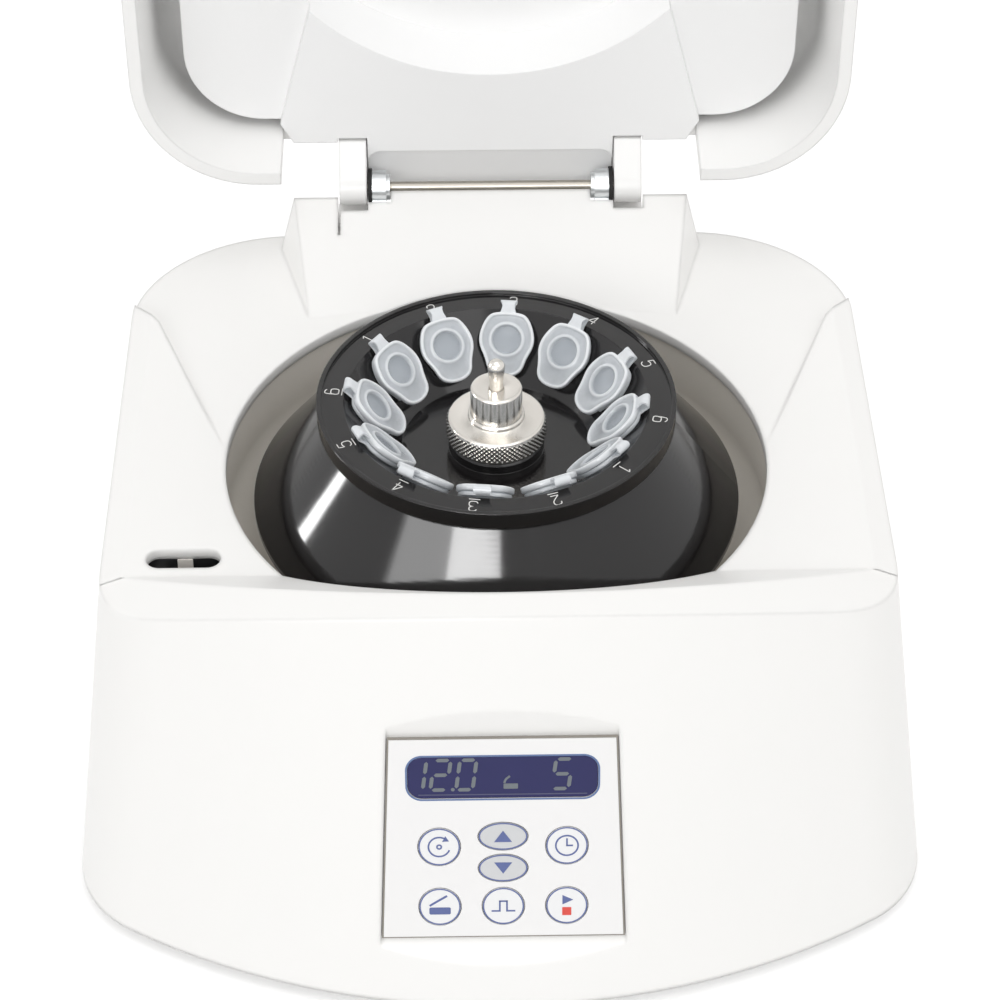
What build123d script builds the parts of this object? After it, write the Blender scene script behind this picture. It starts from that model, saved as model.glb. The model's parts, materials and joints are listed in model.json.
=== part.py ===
from build123d import *
from math import atan2, cos, degrees, radians, sin, tan
import os

# A bench mini centrifuge with its lid open. Millimetres, Z up, the bench at Z = 0.
# The pieces are drawn round the rotor's axis, and export moves them so that the origin
# lies at the bottom centre of the whole machine.

# Levels, from the bench up
FOOT_HEIGHT = 4.0
BODY_HEIGHT = 85.0
DECK = FOOT_HEIGHT + BODY_HEIGHT

# Housing, whose walls lean outwards on their way down
FRONT_REACH = 117.0
REAR_REACH = 116.0
HALF_WIDTH = 112.0
FRONT_LEAN = 18.7
REAR_LEAN = 5.0
SIDE_LEAN = 6.7
FRONT_BOW = 186.0
FRONT_CORNER = 30.0
REAR_CORNER = 42.0
WALL = 3.0
SKY = 60.0
CUTTER_RUN = 3.0

# Deck, the front rise with its arched lip, and the side ledges that carry the lid
OPENING_RADIUS = 72.0
CREASE_Y = -46.2
RISE_ANGLE = 33.2
LIP_RISE = 18.0
ARCH_RADIUS = 260.0
LEDGE_WIDTH = 5.5
LEDGE_DROP = 2.4
LEDGE_END_Y = 73.0
SCOOP_ANGLE = 5.0
SCOOP_START_Y = 3.0
SCOOP_TURN_X = 94.0
SCOOP_TURN_Y = 62.0

# Rear hump that climbs to the hinge, and the hinge itself
HUMP_FRONT_RISE = 2.3
HUMP_ANGLE = 20.7
HUMP_HALF_WIDTH = 53.0
HUMP_SPREAD = 12.4
HUMP_DRAFT = 14.0
HUMP_ROOT = 15.0
HINGE_Y = 106.0
HINGE_RISE = 14.6
HINGE_Z = DECK + HINGE_RISE
SHOULDER_OUTER = 57.5
SHOULDER_INNER = 44.1
SHOULDER_SETBACK = 2.0
ARM_OUTER = 43.6
ARM_INNER = 35.7
ARM_EYE_RADIUS = 5.0
NOTCH_Y = 97.9
NOTCH_RISE = 7.4
SILL_REACH = 2.0
SLIT_WIDTH = 0.8
SLIT_FRONT_Y = 90.0
ROD_RADIUS = 1.5
ROD_FIT = 0.05
COLLAR_RADIUS = 4.8
COLLAR_LENGTH = 4.2
COLLAR_STEP = 1.0
LUG_REACH = 12.0
LUG_HEIGHT = 4.0
LUG_ANGLE = 45.0
WASHER_RADIUS = 5.4
WASHER_THICK = 1.1
LID_OPEN_ANGLE = 90.0

# Clearances
SIDE_GAP = 0.3
SEAT_GAP = 0.02
RUNNING_GAP = 0.05

# Lid
LID_HALF_WIDTH = 100.0
LID_FRONT_REACH = 81.5
LID_BACK_Y = 95.0
LID_TOP_RISE = 40.0
LID_DRAFT = 4.0
LID_CORNER = 34.0
LID_FRONT_CORNER = 18.0
LID_EDGE_ROUND = 9.0
LID_WALL = 3.6
LID_ROOF = 3.0
LID_TONGUE_BACK_Y = 116.5
LID_TONGUE_ROUND = 8.0
LINER_RISE = 21.0
LINER_THICK = 2.5
LINER_HALF_WIDTH = 86.5
LINER_FRONT_REACH = 74.5
LINER_BACK_Y = 86.4
LINER_CORNER = 22.0
PLATEAU_DROP = 3.0
PLATEAU_HALF_WIDTH = 49.0
PLATEAU_Y = 43.6
PLATEAU_SPREAD = 14.5
PLATEAU_BACK_Y = 96.0
PLATEAU_FRONT_Y = 30.0
SHELF_HALF_WIDTH = 56.5
SHELF_BACK_Y = 92.8
RECESS_ROUND = 3.8
TAIL_BACK_Y = 111.0
DISH_MOUTH_RADIUS = 70.4
DISH_FLOOR_RADIUS = 67.0
DISH_RISE = 34.2
DISH_THICK = 1.4
DISH_WALL = 1.3
DISH_SEAT = 4.0
DISH_LEDGE = 1.0
LID_SCREW_X = 66.0
LID_SCREW_Y = -54.0
LID_CLIP_X = 74.0
LID_CLIP_Y = 60.0
LID_POST_RADIUS = 3.6
LID_SCREW_LENGTH = 9.0
LID_PILOT_DEPTH = 16.0
ARM_ROOT_SETBACK = 6.0
ARM_OVERLAP = 1.0
ARM_CUT_SETBACK = 5.0
ARM_FLANK_ANGLE = 36.87
SHOULDER_CLEARANCE = 2.0
TONGUE_ROOF_EXTRA = 2.0

# Lid hook, latch slot and bolt
SLOT_INSET = 31.2
SLOT_LENGTH = 19.2
SLOT_WIDTH = 7.0
HOOK_SHIFT = 0.7
HOOK_WIDTH = 8.4
HOOK_THICK = 2.2
HOOK_TIP_DEPTH = 14.0
HOOK_EYE = 5.2
HOOK_FOOT_WIDTH = 12.0
HOOK_FOOT_LENGTH = 11.0
HOOK_FOOT_THICK = 2.0
BOLT_DEPTH = 8.5
BOLT_WIDTH = 4.2
BOLT_HEIGHT = 3.2
BOLT_TRAVEL = 6.0
BOLT_BACKSET = 1.0
PLUNGER_RADIUS = 3.2
PLUNGER_LENGTH = 9.0
LATCH_WALL = 1.5
LATCH_DEPTH = 20.0
SOLENOID_LENGTH = 20.0
SOLENOID_WIDTH = 11.0
SOLENOID_HEIGHT = 11.0
LATCH_CLEARANCE = 1.13
SWITCH_BODY_WIDTH = 4.4
SWITCH_BODY_DROP = 10.5
SWITCH_BODY_HEIGHT = 8.0
LEVER_SHIFT = 6.5
LEVER_WIDTH = 2.6
LEVER_THICK = 0.8
LEVER_DROP = 7.0

# Chamber bowl and its shaft seal
BOWL_STEP = 0.8
BOWL_WALL = 1.4
BOWL_DEPTH = 28.0
BOWL_ROUND = 10.0
BOWL_FLANGE = 2.0
SEAL_RADIUS = 14.0
SEAL_THICK = 3.0

# Rotor, levels counted from the deck
RIM_RADIUS = 47.2
RIM_RISE = 20.5
RIM_LIP = 1.2
RIM_LIP_HEIGHT = 0.8
RIM_WALL_HEIGHT = 4.7
RIM_UNDERCUT = 1.6
RING_INNER_RADIUS = 40.0
WELL_FLOOR_RISE = 4.7
CONE_RADIUS = 65.0
CONE_DROP = 11.0
ROTOR_BOTTOM_DROP = 20.0
ROTOR_FOOT_RADIUS = 56.0
RELIEF_RADIUS = 30.0
RELIEF_HEIGHT = 16.0
HUB_RADIUS = 13.0
BOSS_RADIUS = 12.6
BOSS_RISE = 8.0
BOSS_ROUND = 1.0

# Tubes, twelve in a ring, each leaning in at the rotor's angle
TUBE_COUNT = 12
TUBE_TILT = 45.0
TUBE_CAP_RADIUS = 32.3
TUBE_CAP_RISE = 14.8
TUBE_LENGTH = 39.0
TUBE_BARREL = 5.4
TUBE_BARREL_LENGTH = 23.0
TUBE_TIP = 2.4
TUBE_GAP = 0.2
CAP_HALF_WIDTH = 6.7
CAP_THICK = 1.5
CAP_THUMB = 9.6
CAP_THUMB_RADIUS = 3.6
CAP_BOSS_RADIUS = 3.9
CAP_BOSS_DEPTH = 0.8
COLLAR_FLANGE_RADIUS = 6.3
COLLAR_FLANGE_THICK = 1.4
STRAP_HALF_WIDTH = 2.3
STRAP_REACH = 8.9
FIRST_TUBE_ANGLE = 84.0

# Clamp knob and its ball pin
KNOB_RADIUS = 13.3
KNOB_DISC = 6.4
KNOB_EDGE = 0.6
BARREL_RADIUS = 6.8
BARREL_TOP_RISE = 24.0
KNOB_TOP_RISE = 32.8
PIN_RADIUS = 1.85
BALL_RADIUS = 2.3
PIN_DEPTH = 4.0

# Motor on its bracket and rubber mounts
SHAFT_RADIUS = 4.0
SHAFT_TOP_RISE = 12.0
MOTOR_RADIUS = 31.0
MOTOR_DROP = 39.0
MOTOR_BOTTOM = 12.0
MOTOR_NECK_RADIUS = 11.0
MOTOR_NECK = 4.0
MOTOR_EDGE = 1.5
SHAFT_END_GAP = 1.0
MOTOR_SCREW_ANGLE = 30.0
MOUNT_ANGLE = 90.0
BRACKET_LEVEL = 28.0
BRACKET_THICK = 2.5
BRACKET_RADIUS = 50.0
MOUNT_CIRCLE = 43.0
DAMPER_COUNT = 3
DAMPER_RADIUS = 7.0
DAMPER_WAIST = 5.4
DAMPER_HEIGHT = 12.0
MOTOR_SCREW_CIRCLE = 35.5
MOTOR_EAR_RADIUS = 38.5
SCREW_RADIUS = 1.5
SCREW_HEAD = 3.0
SCREW_HEAD_HEIGHT = 1.8

# Base pan, feet and screws
PAN_THICK = 2.5
PAN_LIP = 8.0
PAN_LIP_WALL = 2.0
FOOT_RADIUS = 9.0
FOOT_TOP_RADIUS = 10.0
FOOT_WEB = 1.2
BASE_SCREW_LENGTH = 10.0
FOOT_X = 84.0
FOOT_FRONT_Y = -74.0
FOOT_BACK_Y = 84.0
BOSS_SCREW_X = 62.0
BOSS_SCREW_FRONT_Y = -84.0
BOSS_SCREW_BACK_Y = 96.0
HOUSING_BOSS_RADIUS = 4.5
PAN_VENT_COUNT = 7
PAN_VENT_PITCH = 7.0
PAN_VENT_LENGTH = 36.0
PAN_VENT_WIDTH = 3.0
PAN_VENT_Y = -62.0

# Front panel window, its membrane, display and keys, measured along the panel
PANEL_TILT = 18.2
PANEL_FOOT_Y = -85.0
PANEL_CENTRE_DROP = 41.5
PANEL_HEIGHT = 57.0
PANEL_TOP_WIDTH = 57.6
PANEL_BOTTOM_WIDTH = 62.2
PANEL_DEPTH = 3.3
PANEL_TOP_SLOPE = 8.3
PANEL_BOTTOM_SLOPE = 5.7
PANEL_PAD = 3.0
PANEL_PAD_MARGIN = 5.0
MEMBRANE_GAP = 0.7
MEMBRANE_THICK = 1.2
DISPLAY_WIDTH = 47.2
DISPLAY_HEIGHT = 11.4
DISPLAY_ROUND = 3.6
DISPLAY_LEVEL = 17.2
LENS_THICK = 1.0
LENS_GAP = 0.1
KEY_SPACING = 16.0
KEY_RADIUS = 5.2
KEY_OVAL_LENGTH = 12.2
KEY_OVAL_HEIGHT = 7.6
KEY_UPPER_LEVEL = -2.1
KEY_LOWER_LEVEL = -19.2
ARROW_UP_LEVEL = 0.7
ARROW_DOWN_LEVEL = -8.3
KEY_THICK = 0.7
KEY_TRAVEL = 0.4
STEM_RADIUS = 1.8
STEM_GAP = 0.4
BOARD_GAP = 7.0
BOARD_THICK = 1.6
BOARD_WIDTH = 56.0
BOARD_HEIGHT = 60.0
GLASS_INSET = 1.8
SWITCH_SIDE = 6.0
SWITCH_HEIGHT = 2.4
SPACER_RADIUS = 2.6
SPACER_X = 25.0
SPACER_LEVEL = 26.5

# Rear bay with the mains inlet and the rocker switch
BAY_WIDTH = 92.0
BAY_HEIGHT = 40.0
BAY_LEVEL = 38.0
BAY_MARGIN = 5.0
REAR_PLATE = 1.5
INLET_X = 24.0
INLET_WIDTH = 27.5
INLET_HEIGHT = 19.5
INLET_FLANGE = 4.0
INLET_FLANGE_THICK = 2.5
INLET_DEPTH = 20.0
INLET_CHAMFER = 5.0
SOCKET_WALL = 1.75
SOCKET_DEPTH = 17.0
BLADE_WIDTH = 4.0
BLADE_THICK = 2.0
BLADE_SPACING = 7.0
BLADE_LENGTH = 11.5
ROCKER_X = -26.0
ROCKER_WIDTH = 12.0
ROCKER_HALF = 9.2
ROCKER_RISE = 5.1
ROCKER_BEND = 9.0
ROCKER_ROOT_HALF = 6.5
ROCKER_ROOT = 4.5
ROCKER_PIVOT = -1.6
FRAME_INNER_HEIGHT = 20.6
FRAME_WALL = 1.8
FRAME_FLANGE = 3.0
FRAME_THICK = 1.8
FRAME_DEPTH = 14.0
VENT_COUNT = 7
VENT_PITCH = 7.0
VENT_WIDTH = 3.0
VENT_HEIGHT = 18.0
VENT_LEVEL = 68.0

# Power supply
SUPPLY_SIDE_INSET = 60.0
SUPPLY_REAR_INSET = 50.0
SUPPLY_LENGTH = 62.0
SUPPLY_WIDTH = 34.0
SUPPLY_HEIGHT = 26.0
CORE_LENGTH = 26.0
CORE_HEIGHT = 20.0
COIL_OVERHANG = 3.0
COIL_RADIUS = 9.0
CAN_RADIUS = 6.0
CAN_SHIFT = 2.0

# Values that follow from the ones above
BOWL_RADIUS = OPENING_RADIUS + BOWL_STEP
HUMP_BACK_Y = HINGE_Y - ROD_RADIUS - SIDE_GAP
SLOT_X = SLOT_INSET - HALF_WIDTH
HOOK_X = SLOT_X - HOOK_SHIFT
LEVER_X = SLOT_X - LEVER_SHIFT
MOTOR_TOP = DECK - MOTOR_DROP
SUPPLY_X = SUPPLY_SIDE_INSET - HALF_WIDTH
SUPPLY_Y = REAR_REACH - SUPPLY_REAR_INSET

# Reach behind the rotor's axis with the lid open, and the origin between the two reaches
OPEN_LID_REACH = HINGE_Y + LID_TOP_RISE - HINGE_RISE
AXIS_Y = (FRONT_REACH - OPEN_LID_REACH) / 2.0


def wall_reach(reach, lean, level):
    """Reach of a leaning wall at a level above the bench."""
    return reach - (level - FOOT_HEIGHT) * tan(radians(lean))


def rounded_plan(half_width, front, back, bow, front_corner, back_corner):
    """Plan with straight sides and back, and a front bowed to a circle."""
    depth = front + back
    plan = Pos(0, (back - front) / 2) * Rectangle(2 * half_width, depth)
    plan = plan & (Pos(0, bow - front) * Circle(bow))
    if bow * 2 < depth:
        plan = plan + Pos(0, back / 2) * Rectangle(2 * half_width, back)
    corners = plan.vertices().sort_by(Axis.Y)
    plan = fillet(corners[:2], front_corner)
    return fillet(plan.vertices().sort_by(Axis.Y)[-2:], back_corner)


def housing_plan(level, inset):
    """Outline of the housing at a level, drawn in by the wall where one is given."""
    return rounded_plan(
        wall_reach(HALF_WIDTH, SIDE_LEAN, level) - inset,
        wall_reach(FRONT_REACH, FRONT_LEAN, level) - inset,
        wall_reach(REAR_REACH, REAR_LEAN, level) - inset,
        FRONT_BOW - inset,
        FRONT_CORNER - inset,
        REAR_CORNER - inset,
    )


def arch_sky(inset):
    """What lies above the arched lip, ahead of the crease."""
    depth = FRONT_REACH + CREASE_Y + SKY
    block = Pos(0, CREASE_Y - depth / 2, DECK + SKY / 2 - WALL * 2)
    block = block * Box(4 * HALF_WIDTH, depth, SKY + WALL * 2)
    top = DECK + LIP_RISE - inset
    arch = Pos(0, CREASE_Y - depth / 2, top - ARCH_RADIUS) * Rot(X=90)
    return block - arch * Cylinder(ARCH_RADIUS, 2 * depth)


def deck_sky(inset):
    """What lies above the deck and above the slope of the front rise."""
    level = DECK - inset
    run = FRONT_REACH + SKY
    climb = (run + CREASE_Y) * tan(radians(RISE_ANGLE))
    with BuildPart() as sky:
        with BuildSketch(Plane.YZ):
            with BuildLine():
                Polyline(
                    (REAR_REACH + SKY, level),
                    (CREASE_Y, level),
                    (-run, level + climb),
                    (-run, level + climb + SKY),
                    (REAR_REACH + SKY, level + climb + SKY),
                    close=True,
                )
            make_face()
        extrude(amount=2 * HALF_WIDTH, both=True)
    return sky.part


def scoop_sky(inset):
    """What lies above the shallow cone that falls away behind the opening."""
    reach = REAR_REACH + SKY
    fall = (reach - OPENING_RADIUS) * tan(radians(SCOOP_ANGLE))
    with BuildPart() as cone:
        with BuildSketch(Plane.XZ):
            with BuildLine():
                Polyline(
                    (OPENING_RADIUS - WALL, DECK - inset),
                    (OPENING_RADIUS, DECK - inset),
                    (reach, DECK - inset - fall),
                    (reach, DECK + SKY),
                    (OPENING_RADIUS - WALL, DECK + SKY),
                    close=True,
                )
            make_face()
        revolve(axis=Axis.Z)
    edge = wall_reach(HALF_WIDTH, SIDE_LEAN, DECK)
    far = HALF_WIDTH + SKY
    with BuildPart() as region:
        with BuildSketch(Plane.XY.offset(FOOT_HEIGHT)):
            with BuildLine():
                Polyline(
                    (OPENING_RADIUS, SCOOP_START_Y),
                    (SCOOP_TURN_X, SCOOP_TURN_Y),
                    (edge, LEDGE_END_Y),
                    (far, LEDGE_END_Y),
                    (far, reach),
                    (-far, reach),
                    (-far, LEDGE_END_Y),
                    (-edge, LEDGE_END_Y),
                    (-SCOOP_TURN_X, SCOOP_TURN_Y),
                    (-OPENING_RADIUS, SCOOP_START_Y),
                    close=True,
                )
            make_face()
        extrude(amount=DECK + SKY)
    return cone.part & region.part


def ledge_sky(side):
    """Wedge that makes a side ledge slope outwards under the lid's rim."""
    edge = wall_reach(HALF_WIDTH, SIDE_LEAN, DECK)
    steep = LEDGE_DROP / LEDGE_WIDTH
    out = 2 * LEDGE_WIDTH
    with BuildPart() as wedge:
        with BuildSketch(Plane.XZ.offset(-LEDGE_END_Y)):
            with BuildLine():
                Polyline(
                    (side * (edge - LEDGE_WIDTH), DECK),
                    (side * (edge + out), DECK - steep * (LEDGE_WIDTH + out)),
                    (side * (edge + out), DECK + LEDGE_WIDTH),
                    (side * (edge - LEDGE_WIDTH), DECK + LEDGE_WIDTH),
                    close=True,
                )
            make_face()
        extrude(amount=LEDGE_END_Y - CREASE_Y)
    return wedge.part


def housing_block(inset, floor):
    """The housing as a full block, or its hollow where an inset is given."""
    top = DECK + LIP_RISE + WALL
    block = loft([
        Pos(0, 0, floor) * housing_plan(floor, inset),
        Pos(0, 0, top) * housing_plan(top, inset),
    ], ruled=True)
    block = block - deck_sky(inset) - arch_sky(inset) - scoop_sky(inset)
    return block


def hump_block():
    """Wedge behind the opening that climbs to the hinge, with drafted sides and set-back shoulders."""
    front_y = HUMP_HALF_WIDTH
    spread = tan(radians(HUMP_SPREAD))
    front_half = HUMP_HALF_WIDTH + (front_y - OPENING_RADIUS) * spread
    back_half = HUMP_HALF_WIDTH + (HUMP_BACK_Y - OPENING_RADIUS) * spread
    base = DECK - HUMP_ROOT
    top = base + SKY
    spans = []
    for level in (base, top):
        slant = (DECK + HUMP_FRONT_RISE - level) * tan(radians(HUMP_DRAFT))
        span = Polygon(
            (-front_half - slant, front_y),
            (front_half + slant, front_y),
            (back_half + slant, HUMP_BACK_Y),
            (-back_half - slant, HUMP_BACK_Y),
            align=None,
        )
        spans.append(Pos(0, 0, level) * span)
    wedge = loft(spans, ruled=True)
    climb = (HUMP_BACK_Y - OPENING_RADIUS) * tan(radians(HUMP_ANGLE))
    drop = (OPENING_RADIUS - front_y) * tan(radians(HUMP_ANGLE))
    with BuildPart() as side:
        with BuildSketch(Plane.YZ):
            with BuildLine():
                Polyline(
                    (front_y, base),
                    (front_y, DECK + HUMP_FRONT_RISE - drop),
                    (HUMP_BACK_Y, DECK + HUMP_FRONT_RISE + climb),
                    (HUMP_BACK_Y, base),
                    close=True,
                )
            make_face()
        extrude(amount=2 * HALF_WIDTH, both=True)
    hump = wedge & side.part
    for turn in (-1, 1):
        behind = Pos(turn * (SHOULDER_INNER + SKY / 2), HUMP_BACK_Y - SHOULDER_SETBACK + SKY / 2, DECK)
        hump = hump - behind * Box(SKY, SKY, 2 * SKY)
    return hump


def arm_notch(side):
    """Room for an arm of the lid, open at the back."""
    inner = ARM_INNER - SIDE_GAP
    return Pos(side * (inner + SHOULDER_INNER) / 2, NOTCH_Y, DECK + NOTCH_RISE) * Box(
        SHOULDER_INNER - inner, SKY, SKY, align=(Align.CENTER, Align.MIN, Align.MIN))


def arm_sill(side):
    """Block that carries the floor of an arm's notch out behind the hump."""
    inner = ARM_INNER - SIDE_GAP
    depth = HINGE_Y + SILL_REACH - NOTCH_Y
    return Pos(side * (inner + SHOULDER_INNER) / 2, NOTCH_Y, DECK + NOTCH_RISE) * Box(
        SHOULDER_INNER - inner, depth, HUMP_ROOT + NOTCH_RISE, align=(Align.CENTER, Align.MIN, Align.MAX))


def collar_lug(side, margin):
    """Lug that anchors a hinge collar in the hump, grown by a margin."""
    middle = collar_end() - COLLAR_LENGTH / 2
    bar = Box(
        COLLAR_LENGTH + 2 * margin, LUG_REACH + margin, LUG_HEIGHT + 2 * margin,
        align=(Align.CENTER, Align.MAX, Align.CENTER))
    return Pos(side * middle, HINGE_Y, HINGE_Z) * Rot(X=LUG_ANGLE) * bar


def panel_plane(out):
    """Plane of the front panel's floor, moved outwards; Y runs up the panel."""
    level = DECK - PANEL_CENTRE_DROP
    back = PANEL_FOOT_Y - PANEL_CENTRE_DROP * tan(radians(PANEL_TILT))
    normal = Vector(0, -cos(radians(PANEL_TILT)), sin(radians(PANEL_TILT)))
    origin = Vector(0, back, level) + normal * out
    return Plane(origin=origin, x_dir=(1, 0, 0), z_dir=normal)


def panel_shape(margin):
    """The panel's outline, wider at the bottom, grown by a margin."""
    half = PANEL_HEIGHT / 2 + margin
    top = PANEL_TOP_WIDTH / 2 + margin
    bottom = PANEL_BOTTOM_WIDTH / 2 + margin
    return Polygon((-bottom, -half), (bottom, -half), (top, half), (-top, half), align=None)


def panel_recess():
    """Flat-floored pocket in the bowed front, its top and bottom walls sloping out."""
    reach = CUTTER_RUN
    rise = PANEL_DEPTH * reach
    half = PANEL_HEIGHT / 2
    pocket = extrude(panel_plane(0) * panel_shape(PANEL_TOP_SLOPE * reach), rise)
    plane = panel_plane(0)
    section = Plane(origin=plane.origin, x_dir=plane.y_dir, z_dir=(1, 0, 0))
    profile = Polygon(
        (-half, 0),
        (half, 0),
        (half + PANEL_TOP_SLOPE * reach, rise),
        (-half - PANEL_BOTTOM_SLOPE * reach, rise),
        align=None,
    )
    slopes = extrude(section * profile, PANEL_BOTTOM_WIDTH, both=True)
    tall = PANEL_TOP_SLOPE * reach
    flare = (PANEL_BOTTOM_WIDTH - PANEL_TOP_WIDTH) / 2 / PANEL_HEIGHT * tall
    sides = Polygon(
        (-PANEL_BOTTOM_WIDTH / 2 - flare, -half - tall),
        (PANEL_BOTTOM_WIDTH / 2 + flare, -half - tall),
        (PANEL_TOP_WIDTH / 2 - flare, half + tall),
        (-PANEL_TOP_WIDTH / 2 + flare, half + tall),
        align=None,
    )
    return pocket & slopes & extrude(plane * sides, rise)


def key_places():
    """Name, place and shape of each key on the panel."""
    return {
        "key_speed": (-KEY_SPACING, KEY_UPPER_LEVEL, "round"),
        "key_time": (KEY_SPACING, KEY_UPPER_LEVEL, "round"),
        "key_lid": (-KEY_SPACING, KEY_LOWER_LEVEL, "round"),
        "key_pulse": (0.0, KEY_LOWER_LEVEL, "round"),
        "key_start": (KEY_SPACING, KEY_LOWER_LEVEL, "round"),
        "key_up": (0.0, ARROW_UP_LEVEL, "oval"),
        "key_down": (0.0, ARROW_DOWN_LEVEL, "oval"),
    }


def key_shape(kind, margin):
    """A key's outline, grown by a margin."""
    if kind == "round":
        return Circle(KEY_RADIUS + margin)
    return Ellipse(KEY_OVAL_LENGTH / 2 + margin, KEY_OVAL_HEIGHT / 2 + margin)


def display_shape(margin):
    """The display's rounded outline, grown by a margin."""
    width = DISPLAY_WIDTH + 2 * margin
    height = DISPLAY_HEIGHT + 2 * margin
    return RectangleRounded(width, height, DISPLAY_ROUND + margin)


def rear_plane(level, out):
    """Plane of the rear wall's outer face at a level; Y runs up the wall."""
    back = wall_reach(REAR_REACH, REAR_LEAN, level)
    normal = Vector(0, cos(radians(REAR_LEAN)), sin(radians(REAR_LEAN)))
    return Plane(origin=Vector(0, back, level) + normal * out, x_dir=(-1, 0, 0), z_dir=normal)


def housing_boss(x, y):
    """Boss inside the housing that takes a screw from below."""
    seat = FOOT_HEIGHT + PAN_THICK
    low = (Align.CENTER, Align.CENTER, Align.MIN)
    boss = Pos(x, y, seat) * Cylinder(HOUSING_BOSS_RADIUS, BODY_HEIGHT, align=low)
    pilot = Pos(x, y, seat) * Cylinder(SCREW_RADIUS, BASE_SCREW_LENGTH, align=low)
    return boss, pilot


def base_screw_places():
    """Places of the four screws that hold the pan to the housing."""
    return [
        (side * BOSS_SCREW_X, y)
        for side in (-1, 1)
        for y in (BOSS_SCREW_FRONT_Y, BOSS_SCREW_BACK_Y)
    ]


def foot_places():
    """Places of the four feet."""
    return [(side * FOOT_X, y) for side in (-1, 1) for y in (FOOT_FRONT_Y, FOOT_BACK_Y)]


def upper_housing():
    """Moulded shell: bowed front, deck, front rise, scooped rear and hump with its hinge seats."""
    outside = housing_block(0, FOOT_HEIGHT)
    hollow = housing_block(WALL, FOOT_HEIGHT - WALL)
    rim = Pos(0, 0, DECK - WALL) * Cylinder(
        OPENING_RADIUS + WALL, SKY, align=(Align.CENTER, Align.CENTER, Align.MIN))
    hollow = hollow - rim
    shell = (outside - hollow) + (hump_block() - hollow)
    pocket_half = collar_start() + SHOULDER_INNER
    for side in (-1, 1):
        shell = shell + (arm_sill(side) - hollow)
        shell = shell - ledge_sky(side) - arm_notch(side) - collar_lug(side, SEAT_GAP)
        pocket = Pos(side * pocket_half / 2, HINGE_Y, HINGE_Z) * Rot(Y=90) * Cylinder(
            WASHER_RADIUS + SIDE_GAP, SHOULDER_INNER - collar_start())
        shell = shell - pocket
    slit = Pos(-SHOULDER_INNER, SLIT_FRONT_Y, DECK + NOTCH_RISE) * Box(
        SLIT_WIDTH, SKY, SKY, align=(Align.MIN, Align.MIN, Align.MIN))
    shell = shell - slit
    shell = shell - Pos(0, 0, DECK) * Cylinder(OPENING_RADIUS, 2 * SKY)
    return panel_and_bay(latch_slot(shell), hollow)


def latch_slot(shell):
    """Cuts the slot that the lid's hook drops into."""
    slot = RectangleRounded(SLOT_LENGTH, SLOT_WIDTH, SLOT_WIDTH / 2 - SEAT_GAP)
    return shell - Pos(SLOT_X, slot_y(), DECK) * extrude(slot, 2 * WALL, both=True)


def bowl_edge(x):
    """How far from the middle the bowl and its clearance reach, at a place across."""
    reach = BOWL_RADIUS + BOWL_WALL + BOWL_FLANGE + LATCH_CLEARANCE
    return max(reach ** 2 - x ** 2, 0) ** 0.5


def slot_y():
    """Place of the latch slot, as far back as the bowl allows."""
    box = bowl_edge(-SLOT_X - SLOT_LENGTH / 2 - LATCH_WALL)
    solenoid = bowl_edge(-HOOK_X - SOLENOID_WIDTH / 2) + SOLENOID_LENGTH
    return -max(box, solenoid) - LATCH_WALL - SLOT_WIDTH / 2


def panel_and_bay(shell, hollow):
    """Adds the panel's pad and the bosses, and cuts panel, key holes, bay and vents."""
    pad = extrude(panel_plane(-PANEL_PAD) * panel_shape(PANEL_PAD_MARGIN), PANEL_PAD + PANEL_DEPTH)
    shell = shell + (pad & hollow)
    shell = shell - panel_recess()
    through = PANEL_PAD + PANEL_DEPTH
    lens = panel_plane(-through) * Pos(0, DISPLAY_LEVEL) * display_shape(-LENS_THICK)
    shell = shell - extrude(lens, through + PANEL_DEPTH)
    for x, level, kind in key_places().values():
        hole = panel_plane(-through) * Pos(x, level) * Circle(STEM_RADIUS + STEM_GAP)
        shell = shell - extrude(hole, through + PANEL_DEPTH)
    for x, y in base_screw_places():
        boss, pilot = housing_boss(x, y)
        shell = shell + (boss & hollow) - pilot
    bay = rear_plane(BAY_LEVEL, -2 * WALL) * Rectangle(BAY_WIDTH, BAY_HEIGHT)
    shell = shell - extrude(bay, 3 * WALL)
    for index in range(VENT_COUNT):
        x = (index - (VENT_COUNT - 1) / 2) * VENT_PITCH
        vent = rear_plane(VENT_LEVEL, -2 * WALL) * Pos(x, 0) * RectangleRounded(
            VENT_WIDTH, VENT_HEIGHT, VENT_WIDTH / 2 - SIDE_GAP / 2)
        shell = shell - extrude(vent, 3 * WALL)
    return shell


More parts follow.
